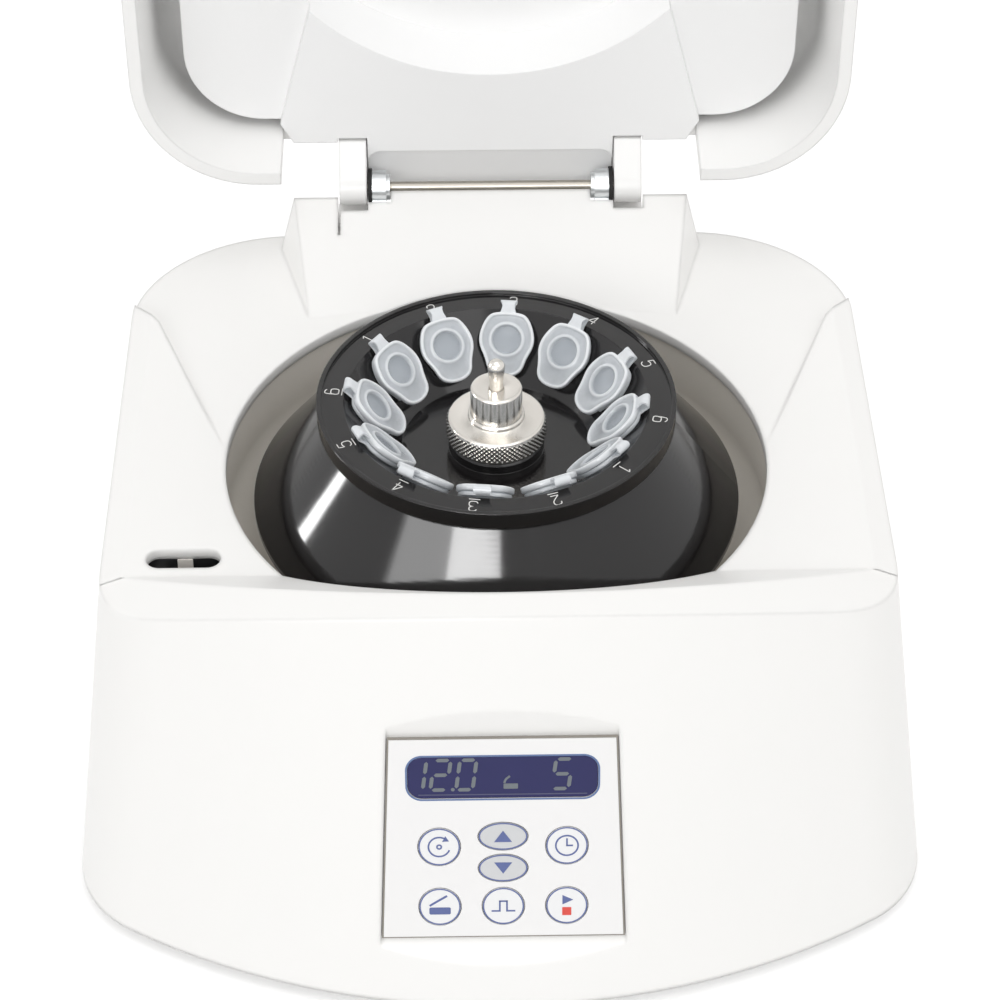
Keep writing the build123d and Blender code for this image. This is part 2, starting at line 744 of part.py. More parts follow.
def base_pan():
    """Bottom plate inside the housing's edge, with a lip, vents and motor posts."""
    inset = WALL + SIDE_GAP
    top = FOOT_HEIGHT + PAN_LIP
    tray = loft([
        Pos(0, 0, FOOT_HEIGHT) * housing_plan(FOOT_HEIGHT, inset),
        Pos(0, 0, top) * housing_plan(top, inset),
    ], ruled=True)
    inner = loft([
        Pos(0, 0, FOOT_HEIGHT + PAN_THICK) * housing_plan(FOOT_HEIGHT + PAN_THICK, inset + PAN_LIP_WALL),
        Pos(0, 0, top + PAN_THICK) * housing_plan(top + PAN_THICK, inset + PAN_LIP_WALL),
    ], ruled=True)
    pan = tray - inner
    post_height = BRACKET_LEVEL - DAMPER_HEIGHT - FOOT_HEIGHT
    for index in range(DAMPER_COUNT):
        spot = Rot(Z=index * 360 / DAMPER_COUNT + MOUNT_ANGLE) * Pos(MOUNT_CIRCLE, 0, FOOT_HEIGHT)
        pan = pan + spot * Cylinder(
            DAMPER_RADIUS, post_height, align=(Align.CENTER, Align.CENTER, Align.MIN))
        pan = pan - spot * Cylinder(SCREW_RADIUS, 4 * post_height)
    for x, y in base_screw_places():
        pan = pan - Pos(x, y, FOOT_HEIGHT) * Cylinder(HOUSING_BOSS_RADIUS + SIDE_GAP, 4 * PAN_LIP)
        cup = Pos(x, y, FOOT_HEIGHT) * Cylinder(
            HOUSING_BOSS_RADIUS + SIDE_GAP, PAN_THICK, align=(Align.CENTER, Align.CENTER, Align.MIN))
        pan = pan + (cup - Pos(x, y, FOOT_HEIGHT) * Cylinder(SCREW_RADIUS + SEAT_GAP, 4 * PAN_THICK))
    for x, y in foot_places():
        pan = pan - Pos(x, y, FOOT_HEIGHT) * Cylinder(SCREW_RADIUS, 4 * PAN_THICK)
    for index in range(PAN_VENT_COUNT):
        x = (index - (PAN_VENT_COUNT - 1) / 2) * PAN_VENT_PITCH
        vent = Pos(x, PAN_VENT_Y, FOOT_HEIGHT) * RectangleRounded(
            PAN_VENT_WIDTH, PAN_VENT_LENGTH, PAN_VENT_WIDTH / 2 - SIDE_GAP / 2)
        pan = pan - extrude(vent, PAN_THICK, both=True)
    return pan


def screw(length, x, y, level, up):
    """Pan-head screw whose head lies on the level and whose shank runs up or down."""
    sense = 1 if up else -1
    head = Pos(x, y, level - sense * SCREW_HEAD_HEIGHT / 2) * Cylinder(SCREW_HEAD, SCREW_HEAD_HEIGHT)
    shank = Pos(x, y, level + sense * length / 2) * Cylinder(SCREW_RADIUS - SEAT_GAP, length)
    return head + shank


def foot(x, y):
    """Rubber foot with a recess for its screw."""
    body = Pos(x, y, 0) * Cone(
        FOOT_RADIUS, FOOT_TOP_RADIUS, FOOT_HEIGHT, align=(Align.CENTER, Align.CENTER, Align.MIN))
    recess = Pos(x, y, 0) * Cylinder(SCREW_HEAD + SIDE_GAP, 2 * (FOOT_HEIGHT - FOOT_WEB))
    return body - recess - Pos(x, y, 0) * Cylinder(SCREW_RADIUS, 4 * FOOT_HEIGHT)


def base_screws():
    """Four screws through the feet and four that hold the pan to the housing."""
    screws = [
        screw(PAN_THICK + FOOT_WEB, x, y, FOOT_HEIGHT - FOOT_WEB, True) for x, y in foot_places()
    ]
    screws += [
        screw(PAN_THICK + BASE_SCREW_LENGTH - SIDE_GAP, x, y, FOOT_HEIGHT, True)
        for x, y in base_screw_places()
    ]
    return Compound(screws)


def rear_panel():
    """Sheet plate behind the rear bay, cut for the inlet and the rocker."""
    plane = rear_plane(BAY_LEVEL, -WALL - REAR_PLATE)
    plate = extrude(
        plane * Rectangle(BAY_WIDTH + 2 * BAY_MARGIN, BAY_HEIGHT + 2 * BAY_MARGIN), REAR_PLATE - SEAT_GAP)
    inlet = extrude(plane * Pos(-INLET_X, 0) * inlet_shape(SIDE_GAP / 3), 2 * REAR_PLATE, both=True)
    rocker = extrude(plane * Pos(-ROCKER_X, 0) * frame_shape(FRAME_WALL), 2 * REAR_PLATE, both=True)
    return plate - inlet - rocker


def inlet_shape(margin):
    """Three-pin inlet outline with its two lower corners cut off."""
    width = INLET_WIDTH / 2 + margin
    height = INLET_HEIGHT / 2 + margin
    cut = INLET_CHAMFER
    return Polygon(
        (-width, height),
        (-width, -height + cut),
        (-width + cut, -height),
        (width - cut, -height),
        (width, -height + cut),
        (width, height),
        align=None,
    )


def mains_inlet():
    """Appliance inlet: flange, body, socket and three blades."""
    plane = rear_plane(BAY_LEVEL, -WALL)
    flange = extrude(
        plane * Pos(-INLET_X, 0) * RectangleRounded(
            INLET_WIDTH + 2 * INLET_FLANGE, INLET_HEIGHT + 2 * INLET_FLANGE, INLET_FLANGE / 2),
        INLET_FLANGE_THICK)
    body = extrude(plane * Pos(-INLET_X, 0) * inlet_shape(0), -INLET_DEPTH)
    inlet = flange + body
    mouth = rear_plane(BAY_LEVEL, -WALL + INLET_FLANGE_THICK)
    socket = extrude(mouth * Pos(-INLET_X, 0) * inlet_shape(-SOCKET_WALL), -SOCKET_DEPTH)
    inlet = inlet - socket
    floor = rear_plane(BAY_LEVEL, -WALL + INLET_FLANGE_THICK - SOCKET_DEPTH)
    for index in (-1, 0, 1):
        rise = BLADE_WIDTH / 2 if index == 0 else -BLADE_WIDTH / 2
        blade = floor * Pos(-INLET_X + index * BLADE_SPACING, rise) * Rectangle(BLADE_THICK, BLADE_WIDTH)
        inlet = inlet + extrude(blade, BLADE_LENGTH)
    return inlet


def frame_shape(margin):
    """The switch frame's inner outline, grown by a margin."""
    return Rectangle(ROCKER_WIDTH + 2 * SIDE_GAP + 2 * margin, FRAME_INNER_HEIGHT + 2 * margin)


def switch_frame():
    """Frame that clips the rocker into the rear plate."""
    centre = rear_plane(BAY_LEVEL, -WALL) * Pos(-ROCKER_X, 0)
    flange = extrude(centre * frame_shape(FRAME_FLANGE), FRAME_THICK)
    body = extrude(centre * frame_shape(FRAME_WALL - SEAT_GAP), -FRAME_DEPTH)
    mouth = extrude(centre * frame_shape(0), FRAME_THICK)
    well = extrude(centre * frame_shape(0), -FRAME_DEPTH + FRAME_WALL)
    return flange + body - mouth - well


def power_rocker():
    """Rocker with a shallow V face, tipped to its off side."""
    plane = rear_plane(BAY_LEVEL, ROCKER_PIVOT - WALL)
    section = Plane(origin=plane.origin, x_dir=plane.y_dir, z_dir=plane.x_dir)
    shape = Polygon(
        (-ROCKER_HALF, ROCKER_RISE),
        (-ROCKER_ROOT_HALF, -ROCKER_ROOT),
        (ROCKER_ROOT_HALF, -ROCKER_ROOT),
        (ROCKER_HALF, ROCKER_RISE),
        (0, ROCKER_RISE - ROCKER_HALF * tan(radians(ROCKER_BEND))),
        align=None,
    )
    rocker = section * Pos(0, 0, -ROCKER_X) * Rot(Z=ROCKER_BEND) * shape
    return extrude(rocker, ROCKER_WIDTH / 2, both=True)


def chamber_bowl():
    """Deep bowl under the opening, hung by a flange below the deck."""
    floor = DECK - BOWL_DEPTH
    outer = BOWL_RADIUS + BOWL_WALL
    top = DECK - WALL - (outer + BOWL_FLANGE - OPENING_RADIUS) * tan(radians(SCOOP_ANGLE)) - SEAT_GAP
    with BuildPart() as bowl:
        with BuildSketch(Plane.XZ):
            with BuildLine():
                Polyline(
                    (SEAL_RADIUS, floor),
                    (BOWL_RADIUS, floor),
                    (BOWL_RADIUS, top - BOWL_WALL),
                    (BOWL_RADIUS, top),
                    (outer + BOWL_FLANGE, top),
                    (outer + BOWL_FLANGE, top - BOWL_WALL),
                    (outer, top - BOWL_WALL),
                    (outer, floor - BOWL_WALL),
                    (SEAL_RADIUS, floor - BOWL_WALL),
                    close=True,
                )
            make_face()
        revolve(axis=Axis.Z)
    for radius, level in ((BOWL_RADIUS, floor), (outer, floor - BOWL_WALL)):
        rings = bowl.part.edges().filter_by(GeomType.CIRCLE)
        corner = [
            ring for ring in rings
            if abs(ring.radius - radius) < SEAT_GAP and abs(ring.center().Z - level) < SEAT_GAP
        ]
        bowl.part = fillet(corner, BOWL_ROUND + radius - BOWL_RADIUS)
    return bowl.part


def shaft_seal():
    """Rubber lip seal between the bowl's floor and the turning shaft."""
    floor = DECK - BOWL_DEPTH
    with BuildPart() as seal:
        with BuildSketch(Plane.XZ):
            with BuildLine():
                Polyline(
                    (SHAFT_RADIUS + SIDE_GAP, floor + SEAL_THICK),
                    (SHAFT_RADIUS + SIDE_GAP, floor - BOWL_WALL),
                    (SEAL_RADIUS - SEAT_GAP, floor - BOWL_WALL),
                    (SEAL_RADIUS - SEAT_GAP, floor + SEAT_GAP),
                    (SEAL_RADIUS + BOWL_WALL, floor + SEAT_GAP),
                    (SEAL_RADIUS, floor + SEAL_THICK / 2),
                    (SHAFT_RADIUS + SEAL_THICK, floor + SEAL_THICK / 2),
                    close=True,
                )
            make_face()
        revolve(axis=Axis.Z)
    return seal.part


def ringed(points):
    """Solid of revolution round the rotor's axis from a closed profile."""
    with BuildPart() as solid:
        with BuildSketch(Plane.XZ):
            with BuildLine():
                Polyline(*points, close=True)
            make_face()
        revolve(axis=Axis.Z)
    return solid.part


def tube_frame(index):
    """Frame on a tube's axis at its cap: Z runs out of the mouth, X down the rotor's slope."""
    turn = FIRST_TUBE_ANGLE + index * 360 / TUBE_COUNT
    spot = Pos(TUBE_CAP_RADIUS, 0, DECK + TUBE_CAP_RISE)
    return Rot(Z=turn) * spot * Rot(Y=-TUBE_TILT)


def tube_solid(margin, mouth):
    """A tube's barrel and tapered tip, down from its mouth, grown by a margin."""
    taper = TUBE_LENGTH - TUBE_BARREL_LENGTH
    barrel = Pos(0, 0, mouth) * Cylinder(
        TUBE_BARREL + margin, TUBE_BARREL_LENGTH + mouth, align=(Align.CENTER, Align.CENTER, Align.MAX))
    tip = Pos(0, 0, -TUBE_BARREL_LENGTH - taper - margin) * Cone(
        TUBE_TIP + margin, TUBE_BARREL + margin, taper + margin,
        align=(Align.CENTER, Align.CENTER, Align.MIN))
    return barrel + tip


def rotor_body():
    """Turned rotor: rimmed ring, sloped band with the tube holes, well, hub and cone."""
    ring = RIM_RISE - RIM_LIP_HEIGHT
    band = ring - WELL_FLOOR_RISE
    body = ringed([
        (SHAFT_RADIUS + SEAT_GAP, DECK + BOSS_RISE),
        (BOSS_RADIUS - BOSS_ROUND, DECK + BOSS_RISE),
        (BOSS_RADIUS, DECK + BOSS_RISE - BOSS_ROUND),
        (BOSS_RADIUS, DECK + WELL_FLOOR_RISE),
        (RING_INNER_RADIUS - band, DECK + WELL_FLOOR_RISE),
        (RING_INNER_RADIUS, DECK + ring),
        (RIM_RADIUS - RIM_LIP, DECK + ring),
        (RIM_RADIUS - RIM_LIP, DECK + RIM_RISE),
        (RIM_RADIUS, DECK + RIM_RISE),
        (RIM_RADIUS, DECK + RIM_RISE - RIM_WALL_HEIGHT),
        (RIM_RADIUS - RIM_UNDERCUT, DECK + RIM_RISE - RIM_WALL_HEIGHT - RIM_UNDERCUT),
        (CONE_RADIUS, DECK - CONE_DROP),
        (CONE_RADIUS, DECK - CONE_DROP - RIM_UNDERCUT),
        (ROTOR_FOOT_RADIUS, DECK - ROTOR_BOTTOM_DROP),
        (RELIEF_RADIUS, DECK - ROTOR_BOTTOM_DROP),
        (RELIEF_RADIUS, DECK - ROTOR_BOTTOM_DROP + RELIEF_HEIGHT),
        (HUB_RADIUS, DECK - ROTOR_BOTTOM_DROP + RELIEF_HEIGHT),
        (HUB_RADIUS, DECK - ROTOR_BOTTOM_DROP),
        (SHAFT_RADIUS + SEAT_GAP, DECK - ROTOR_BOTTOM_DROP),
    ])
    hole = tube_solid(TUBE_GAP, TUBE_LENGTH / 2)
    for index in range(TUBE_COUNT):
        body = body - tube_frame(index) * hole
    return body


def sample_tube():
    """Moulded tube with its flange, folded hinge strap and closed cap, as one piece."""
    drop = RING_INNER_RADIUS - TUBE_CAP_RADIUS + TUBE_CAP_RISE - RIM_RISE + RIM_LIP_HEIGHT
    curve = TUBE_CAP_RADIUS / sin(radians(TUBE_TILT))
    sag = curve - (curve ** 2 - COLLAR_FLANGE_RADIUS ** 2) ** 0.5
    seat = -drop * sin(radians(TUBE_TILT)) + sag + 2 * RUNNING_GAP
    cap_top = seat + COLLAR_FLANGE_THICK + CAP_THICK
    barrel = tube_solid(0, seat)
    flange = Pos(0, 0, seat) * Cylinder(
        COLLAR_FLANGE_RADIUS, COLLAR_FLANGE_THICK, align=(Align.CENTER, Align.CENTER, Align.MIN))
    lid = Ellipse(CAP_HALF_WIDTH + CAP_THICK / 2, CAP_HALF_WIDTH) + Pos(
        -CAP_THUMB + CAP_THUMB_RADIUS, 0) * Circle(CAP_THUMB_RADIUS)
    cap = Pos(0, 0, seat + COLLAR_FLANGE_THICK) * extrude(lid, CAP_THICK)
    dimple = Pos(0, 0, cap_top) * Cylinder(CAP_BOSS_RADIUS - CAP_BOSS_DEPTH / 2, 2 * CAP_BOSS_DEPTH)
    ring = Pos(0, 0, cap_top) * Cylinder(
        CAP_BOSS_RADIUS + CAP_BOSS_DEPTH / 2, CAP_BOSS_DEPTH / 2,
        align=(Align.CENTER, Align.CENTER, Align.MIN))
    strap = Pos(CAP_HALF_WIDTH, 0, seat + SEAT_GAP) * Box(
        STRAP_REACH - CAP_HALF_WIDTH, 2 * STRAP_HALF_WIDTH, cap_top - seat - SEAT_GAP,
        align=(Align.MIN, Align.CENTER, Align.MIN))
    link = Pos(CAP_HALF_WIDTH / 2, 0, seat + SEAT_GAP) * Box(
        CAP_HALF_WIDTH, 2 * STRAP_HALF_WIDTH, CAP_THICK, align=(Align.MIN, Align.CENTER, Align.MIN))
    return barrel + flange + cap + ring - dimple + strap + link


def rotor_knob():
    """Clamp knob: thick disc for a knurl, and a barrel above it."""
    seat = DECK + BOSS_RISE + SEAT_GAP
    disc_top = seat + KNOB_DISC
    barrel_top = DECK + BARREL_TOP_RISE
    return ringed([
        (SHAFT_RADIUS + RUNNING_GAP, seat),
        (KNOB_RADIUS - KNOB_EDGE, seat),
        (KNOB_RADIUS, seat + KNOB_EDGE),
        (KNOB_RADIUS, disc_top - KNOB_EDGE),
        (KNOB_RADIUS - KNOB_EDGE, disc_top),
        (BARREL_RADIUS, disc_top),
        (BARREL_RADIUS, barrel_top - KNOB_EDGE),
        (BARREL_RADIUS - KNOB_EDGE, barrel_top),
        (PIN_RADIUS + SEAT_GAP, barrel_top),
        (PIN_RADIUS + SEAT_GAP, barrel_top - PIN_DEPTH),
        (0, barrel_top - PIN_DEPTH),
        (0, DECK + SHAFT_TOP_RISE + KNOB_EDGE),
        (SHAFT_RADIUS + RUNNING_GAP, DECK + SHAFT_TOP_RISE + KNOB_EDGE),
    ])


def knob_pin():
    """Pin with a ball end, pressed into the knob's barrel."""
    foot_level = DECK + BARREL_TOP_RISE - PIN_DEPTH
    ball_level = DECK + KNOB_TOP_RISE - BALL_RADIUS
    stem = Pos(0, 0, foot_level) * Cylinder(
        PIN_RADIUS, ball_level - foot_level, align=(Align.CENTER, Align.CENTER, Align.MIN))
    throat = Pos(0, 0, ball_level - 2 * BALL_RADIUS) * Cone(
        PIN_RADIUS, BALL_RADIUS, 2 * BALL_RADIUS, align=(Align.CENTER, Align.CENTER, Align.MIN))
    return stem + throat + Pos(0, 0, ball_level) * Sphere(BALL_RADIUS)


def motor_shaft():
    """Steel shaft from the motor up through the seal, rotor and knob."""
    foot_level = MOTOR_TOP - MOTOR_NECK
    length = DECK + SHAFT_TOP_RISE - foot_level
    return Pos(0, 0, foot_level) * Cylinder(
        SHAFT_RADIUS, length, align=(Align.CENTER, Align.CENTER, Align.MIN))


def motor_body():
    """Motor can with a neck round the shaft and three screw ears."""
    low = (Align.CENTER, Align.CENTER, Align.MIN)
    can = Pos(0, 0, MOTOR_BOTTOM) * Cylinder(MOTOR_RADIUS, MOTOR_TOP - MOTOR_BOTTOM, align=low)
    can = chamfer(can.edges().filter_by(GeomType.CIRCLE), MOTOR_EDGE)
    neck = Pos(0, 0, MOTOR_TOP) * Cylinder(MOTOR_NECK_RADIUS, MOTOR_NECK, align=low)
    motor = can + neck
    level = BRACKET_LEVEL + BRACKET_THICK + SEAT_GAP
    ear = Pos(0, 0, level) * Cylinder(MOTOR_EAR_RADIUS, BRACKET_THICK, align=low)
    motor = motor + ear
    for index in range(DAMPER_COUNT):
        turn = Rot(Z=index * 360 / DAMPER_COUNT + MOTOR_SCREW_ANGLE)
        hole = Pos(MOTOR_SCREW_CIRCLE, 0, level) * Cylinder(SCREW_RADIUS, 4 * BRACKET_THICK)
        motor = motor - turn * hole
    well = Pos(0, 0, MOTOR_TOP - MOTOR_NECK - SHAFT_END_GAP) * Cylinder(
        SHAFT_RADIUS + RUNNING_GAP, SKY, align=low)
    return motor - well


def motor_bracket():
    """Round plate that carries the motor on three rubber mounts."""
    low = (Align.CENTER, Align.CENTER, Align.MIN)
    plate = Pos(0, 0, BRACKET_LEVEL) * Cylinder(BRACKET_RADIUS, BRACKET_THICK, align=low)
    plate = plate - Pos(0, 0, BRACKET_LEVEL) * Cylinder(MOTOR_RADIUS + SIDE_GAP, 4 * BRACKET_THICK)
    for index in range(DAMPER_COUNT):
        turn = Rot(Z=index * 360 / DAMPER_COUNT + MOTOR_SCREW_ANGLE)
        plate = plate - turn * Pos(MOTOR_SCREW_CIRCLE, 0, BRACKET_LEVEL) * Cylinder(
            SCREW_RADIUS, 4 * BRACKET_THICK)
        turn = Rot(Z=index * 360 / DAMPER_COUNT + MOUNT_ANGLE)
        plate = plate - turn * Pos(MOUNT_CIRCLE, 0, BRACKET_LEVEL) * Cylinder(
            SCREW_RADIUS, 4 * BRACKET_THICK)
    return plate


def damper(index):
    """Waisted rubber mount between a post of the pan and the bracket."""
    half = DAMPER_HEIGHT / 2
    turn = Rot(Z=index * 360 / DAMPER_COUNT + MOUNT_ANGLE)
    solid = ringed([
        (SCREW_RADIUS + SEAT_GAP, SEAT_GAP),
        (DAMPER_RADIUS, SEAT_GAP),
        (DAMPER_WAIST, half),
        (DAMPER_RADIUS, DAMPER_HEIGHT - SEAT_GAP),
        (SCREW_RADIUS + SEAT_GAP, DAMPER_HEIGHT - SEAT_GAP),
    ])
    return turn * Pos(MOUNT_CIRCLE, 0, BRACKET_LEVEL - DAMPER_HEIGHT) * solid


def motor_screws():
    """Screws of the motor's flange and of the three mounts."""
    top = BRACKET_LEVEL + BRACKET_THICK
    screws = []
    for index in range(DAMPER_COUNT):
        turn = Rot(Z=index * 360 / DAMPER_COUNT + MOTOR_SCREW_ANGLE)
        level = top + BRACKET_THICK + 2 * SEAT_GAP
        screws.append(turn * screw(2 * BRACKET_THICK, MOTOR_SCREW_CIRCLE, 0, level, False))
        turn = Rot(Z=index * 360 / DAMPER_COUNT + MOUNT_ANGLE)
        length = DAMPER_HEIGHT + 2 * BRACKET_THICK
        screws.append(turn * screw(length, MOUNT_CIRCLE, 0, top + SEAT_GAP, False))
    return Compound(screws)


def power_supply():
    """Supply board on the pan with its transformer and its filter cans."""
    x = SUPPLY_X
    y = SUPPLY_Y
    floor = FOOT_HEIGHT + PAN_THICK + SEAT_GAP
    low = (Align.CENTER, Align.CENTER, Align.MIN)
    board = Pos(x, y, floor) * Box(SUPPLY_LENGTH, SUPPLY_WIDTH, 2 * BOARD_THICK, align=low)
    top = floor + 2 * BOARD_THICK
    core = Pos(x - SUPPLY_LENGTH / 4, y, top) * Box(
        CORE_LENGTH, SUPPLY_WIDTH - 2 * COIL_OVERHANG, CORE_HEIGHT, align=low)
    coil = Pos(x - SUPPLY_LENGTH / 4, y, top + CORE_HEIGHT / 2) * Rot(X=90) * Cylinder(
        COIL_RADIUS, SUPPLY_WIDTH)
    supply = board + core + coil
    for step in (0, 1):
        spot = Pos(x + SUPPLY_LENGTH / 4 + CAN_SHIFT, y - SUPPLY_WIDTH / 4 + step * SUPPLY_WIDTH / 2, top)
        supply = supply + spot * Cylinder(CAN_RADIUS, SUPPLY_HEIGHT - 2 * BOARD_THICK, align=low)
    return supply


def keypad_membrane():
    """Overlay plate on the panel's floor, open for the display and the keys."""
    shape = panel_shape(-MEMBRANE_GAP) - Pos(0, DISPLAY_LEVEL) * display_shape(LENS_GAP)
    for x, level, kind in key_places().values():
        shape = shape - Pos(x, level) * key_shape(kind, SIDE_GAP)
    return extrude(panel_plane(SEAT_GAP) * shape, MEMBRANE_THICK)


def display_window():
    """Clear lens of the display, seated in the overlay."""
    shape = panel_plane(SEAT_GAP) * Pos(0, DISPLAY_LEVEL) * display_shape(0)
    return extrude(shape, LENS_THICK)


def panel_key(x, level, kind):
    """Key cap flush with the overlay, with the stem that reaches its switch."""
    back = SEAT_GAP + MEMBRANE_THICK - KEY_THICK + SEAT_GAP
    cap = extrude(panel_plane(back) * Pos(x, level) * key_shape(kind, 0), KEY_THICK)
    length = BOARD_GAP - SWITCH_HEIGHT - KEY_TRAVEL - SIDE_GAP / 3 + back
    stem = extrude(panel_plane(back) * Pos(x, level) * Circle(STEM_RADIUS), -length)
    return cap + stem


def control_board():
    """Circuit board behind the panel with a switch for each key and the display's frame."""
    face = panel_plane(-BOARD_GAP)
    board = extrude(face * Rectangle(BOARD_WIDTH, BOARD_HEIGHT), -BOARD_THICK)
    for x, level, kind in key_places().values():
        side = min(SWITCH_SIDE, ARROW_UP_LEVEL - ARROW_DOWN_LEVEL - SIDE_GAP)
        block = face * Pos(x, level) * Rectangle(side, side)
        board = board + extrude(block, SWITCH_HEIGHT)
    glass = face * Pos(0, DISPLAY_LEVEL) * Rectangle(
        DISPLAY_WIDTH - 2 * GLASS_INSET, DISPLAY_HEIGHT - 2 * GLASS_INSET)
    board = board + extrude(glass, BOARD_GAP - PANEL_PAD - SIDE_GAP)
    for x in (-SPACER_X, SPACER_X):
        for level in (-SPACER_LEVEL, SPACER_LEVEL):
            spacer = face * Pos(x, level) * Circle(SPACER_RADIUS)
            board = board + extrude(spacer, BOARD_GAP - PANEL_PAD - SEAT_GAP)
    return board


def latch_housing():
    """Moulded box under the slot, open towards the solenoid for the bolt."""
    y = slot_y()
    top = DECK - WALL - SEAT_GAP
    width = SLOT_WIDTH + 2 * LATCH_WALL
    box = Pos(SLOT_X, y, top - LATCH_DEPTH / 2) * Box(SLOT_LENGTH + 2 * LATCH_WALL, width, LATCH_DEPTH)
    hollow = Pos(SLOT_X, y, top - LATCH_DEPTH / 2 + LATCH_WALL) * Box(SLOT_LENGTH, SLOT_WIDTH, LATCH_DEPTH)
    guide = Pos(HOOK_X, y + width / 2, DECK - BOLT_DEPTH) * Box(
        BOLT_WIDTH + 2 * RUNNING_GAP, 2 * LATCH_WALL, BOLT_HEIGHT + 2 * RUNNING_GAP)
    return box - hollow - guide


def latch_bolt():
    """Drawn-back steel bolt with the plunger that pulls it."""
    y = slot_y()
    nose = y + SLOT_WIDTH / 2 - BOLT_BACKSET
    far = y + SLOT_WIDTH / 2 + LATCH_WALL + BOLT_TRAVEL + SIDE_GAP
    bar = Pos(HOOK_X, nose, DECK - BOLT_DEPTH) * Box(
        BOLT_WIDTH, far - nose, BOLT_HEIGHT, align=(Align.CENTER, Align.MIN, Align.CENTER))
    plunger = Pos(HOOK_X, far, DECK - BOLT_DEPTH) * Rot(X=-90) * Cylinder(
        PLUNGER_RADIUS, PLUNGER_LENGTH, align=(Align.CENTER, Align.CENTER, Align.MIN))
    return bar + plunger


def bolt_solenoid():
    """Pull solenoid behind the latch box, bored for the plunger."""
    start = slot_y() + SLOT_WIDTH / 2 + LATCH_WALL + SEAT_GAP
    body = Pos(HOOK_X, start, DECK - BOLT_DEPTH) * Box(
        SOLENOID_WIDTH, SOLENOID_LENGTH, SOLENOID_HEIGHT, align=(Align.CENTER, Align.MIN, Align.CENTER))
    bore = Pos(HOOK_X, start, DECK - BOLT_DEPTH) * Rot(X=90) * Cylinder(
        PLUNGER_RADIUS + SIDE_GAP, 2 * (SOLENOID_LENGTH - LATCH_WALL))
    return body - bore


def lid_switch():
    """Small switch in the latch box, whose metal lever shows through the slot."""
    y = slot_y()
    wall = SLOT_X - SLOT_LENGTH / 2 + SEAT_GAP
    body = Pos(wall, y, DECK - SWITCH_BODY_DROP) * Box(
        SWITCH_BODY_WIDTH, SLOT_WIDTH - 2 * SEAT_GAP, SWITCH_BODY_HEIGHT,
        align=(Align.MIN, Align.CENTER, Align.MAX))
    lever = Pos(LEVER_X, y, DECK - LEVER_DROP) * Box(
        LEVER_WIDTH, SLOT_WIDTH - 2 * SIDE_GAP, LEVER_THICK, align=(Align.CENTER, Align.CENTER, Align.MAX))
    stand = Pos(LEVER_X, y - SLOT_WIDTH / 2 + SIDE_GAP, DECK - LEVER_DROP) * Box(
        LEVER_WIDTH, LEVER_THICK, SWITCH_BODY_DROP - LEVER_DROP, align=(Align.CENTER, Align.MIN, Align.MAX))
    return body + lever + stand


def lid_plan(inset):
    """Outline of the lid's rim, drawn in by the wall where one is given."""
    return rounded_plan(
        LID_HALF_WIDTH - inset,
        LID_FRONT_REACH - inset,
        LID_BACK_Y - inset,
        FRONT_BOW - inset,
        LID_FRONT_CORNER - inset,
        LID_CORNER - inset,
    )


def front_rise(gap):
    """The housing's front rise as the lid meets it, raised by a gap."""
    block = Pos(0, CREASE_Y - SKY / 2, DECK) * Box(4 * HALF_WIDTH, SKY, SKY)
    return Pos(0, 0, gap) * (block - deck_sky(0) - arch_sky(0))


def lid_block(inset, floor, top, rounding):
    """The lid's closed form: drafted sides and a rounded top edge."""
    block = extrude(Pos(0, 0, floor) * lid_plan(inset), top - floor, taper=LID_DRAFT)
    return fillet(block.faces().sort_by(Axis.Z)[-1].edges(), rounding)


def lid_shell():
    """Lid cover: skirt, roof, rear tongue and the two hinge arms, drawn closed."""
    rim = DECK + SIDE_GAP
    roof = DECK + LID_TOP_RISE
    outside = lid_block(0, rim, roof, LID_EDGE_ROUND)
    inside = lid_block(LID_WALL, rim - WALL, roof - LID_ROOF, LID_EDGE_ROUND - LID_ROOF)
    shell = outside - inside - front_rise(SIDE_GAP)
    cut_half = SHOULDER_OUTER + SHOULDER_CLEARANCE
    cut_depth = 2 * (LID_BACK_Y - LINER_BACK_Y)
    tunnel = Pos(0, LID_BACK_Y, rim) * Box(2 * cut_half, cut_depth, 2 * LINER_RISE)
    shell = shell - tunnel
    depth = LID_TONGUE_BACK_Y - LINER_BACK_Y
    base = DECK + LINER_RISE + LINER_THICK
    tongue = Pos(0, LINER_BACK_Y + depth / 2, base) * Box(
        2 * ARM_OUTER, depth, roof - base, align=(Align.CENTER, Align.CENTER, Align.MIN))
    back_top = tongue.edges().filter_by(Axis.X).group_by(Axis.Y)[-1].sort_by(Axis.Z)[-1]
    tongue = fillet(back_top, LID_TONGUE_ROUND)
    hollow_top = roof - LID_ROOF - TONGUE_ROOF_EXTRA
    hollow = Pos(0, LINER_BACK_Y + depth / 2 - LID_WALL, hollow_top) * Box(
        2 * ARM_INNER, depth, hollow_top - base + LINER_THICK + SIDE_GAP,
        align=(Align.CENTER, Align.CENTER, Align.MAX))
    shell = shell + (tongue - inside)
    shell = shell - hollow
    for side in (-1, 1):
        shell = shell + hinge_arm(side)
    for x, y in liner_post_places():
        post = Pos(x, y, base + SEAT_GAP) * Cylinder(
            LID_POST_RADIUS, roof - LID_ROOF / 2 - base, align=(Align.CENTER, Align.CENTER, Align.MIN))
        shell = shell + post
    for x, y in liner_post_places():
        if y < 0:
            shell = shell - Pos(x, y, base) * Cylinder(SCREW_RADIUS, LID_PILOT_DEPTH)
    return shell


def liner_post_places():
    """Places of the posts between the lid's roof and its liner."""
    spots = ((LID_SCREW_X, LID_SCREW_Y), (LID_CLIP_X, LID_CLIP_Y))
    return [(side * x, y) for side in (-1, 1) for x, y in spots]


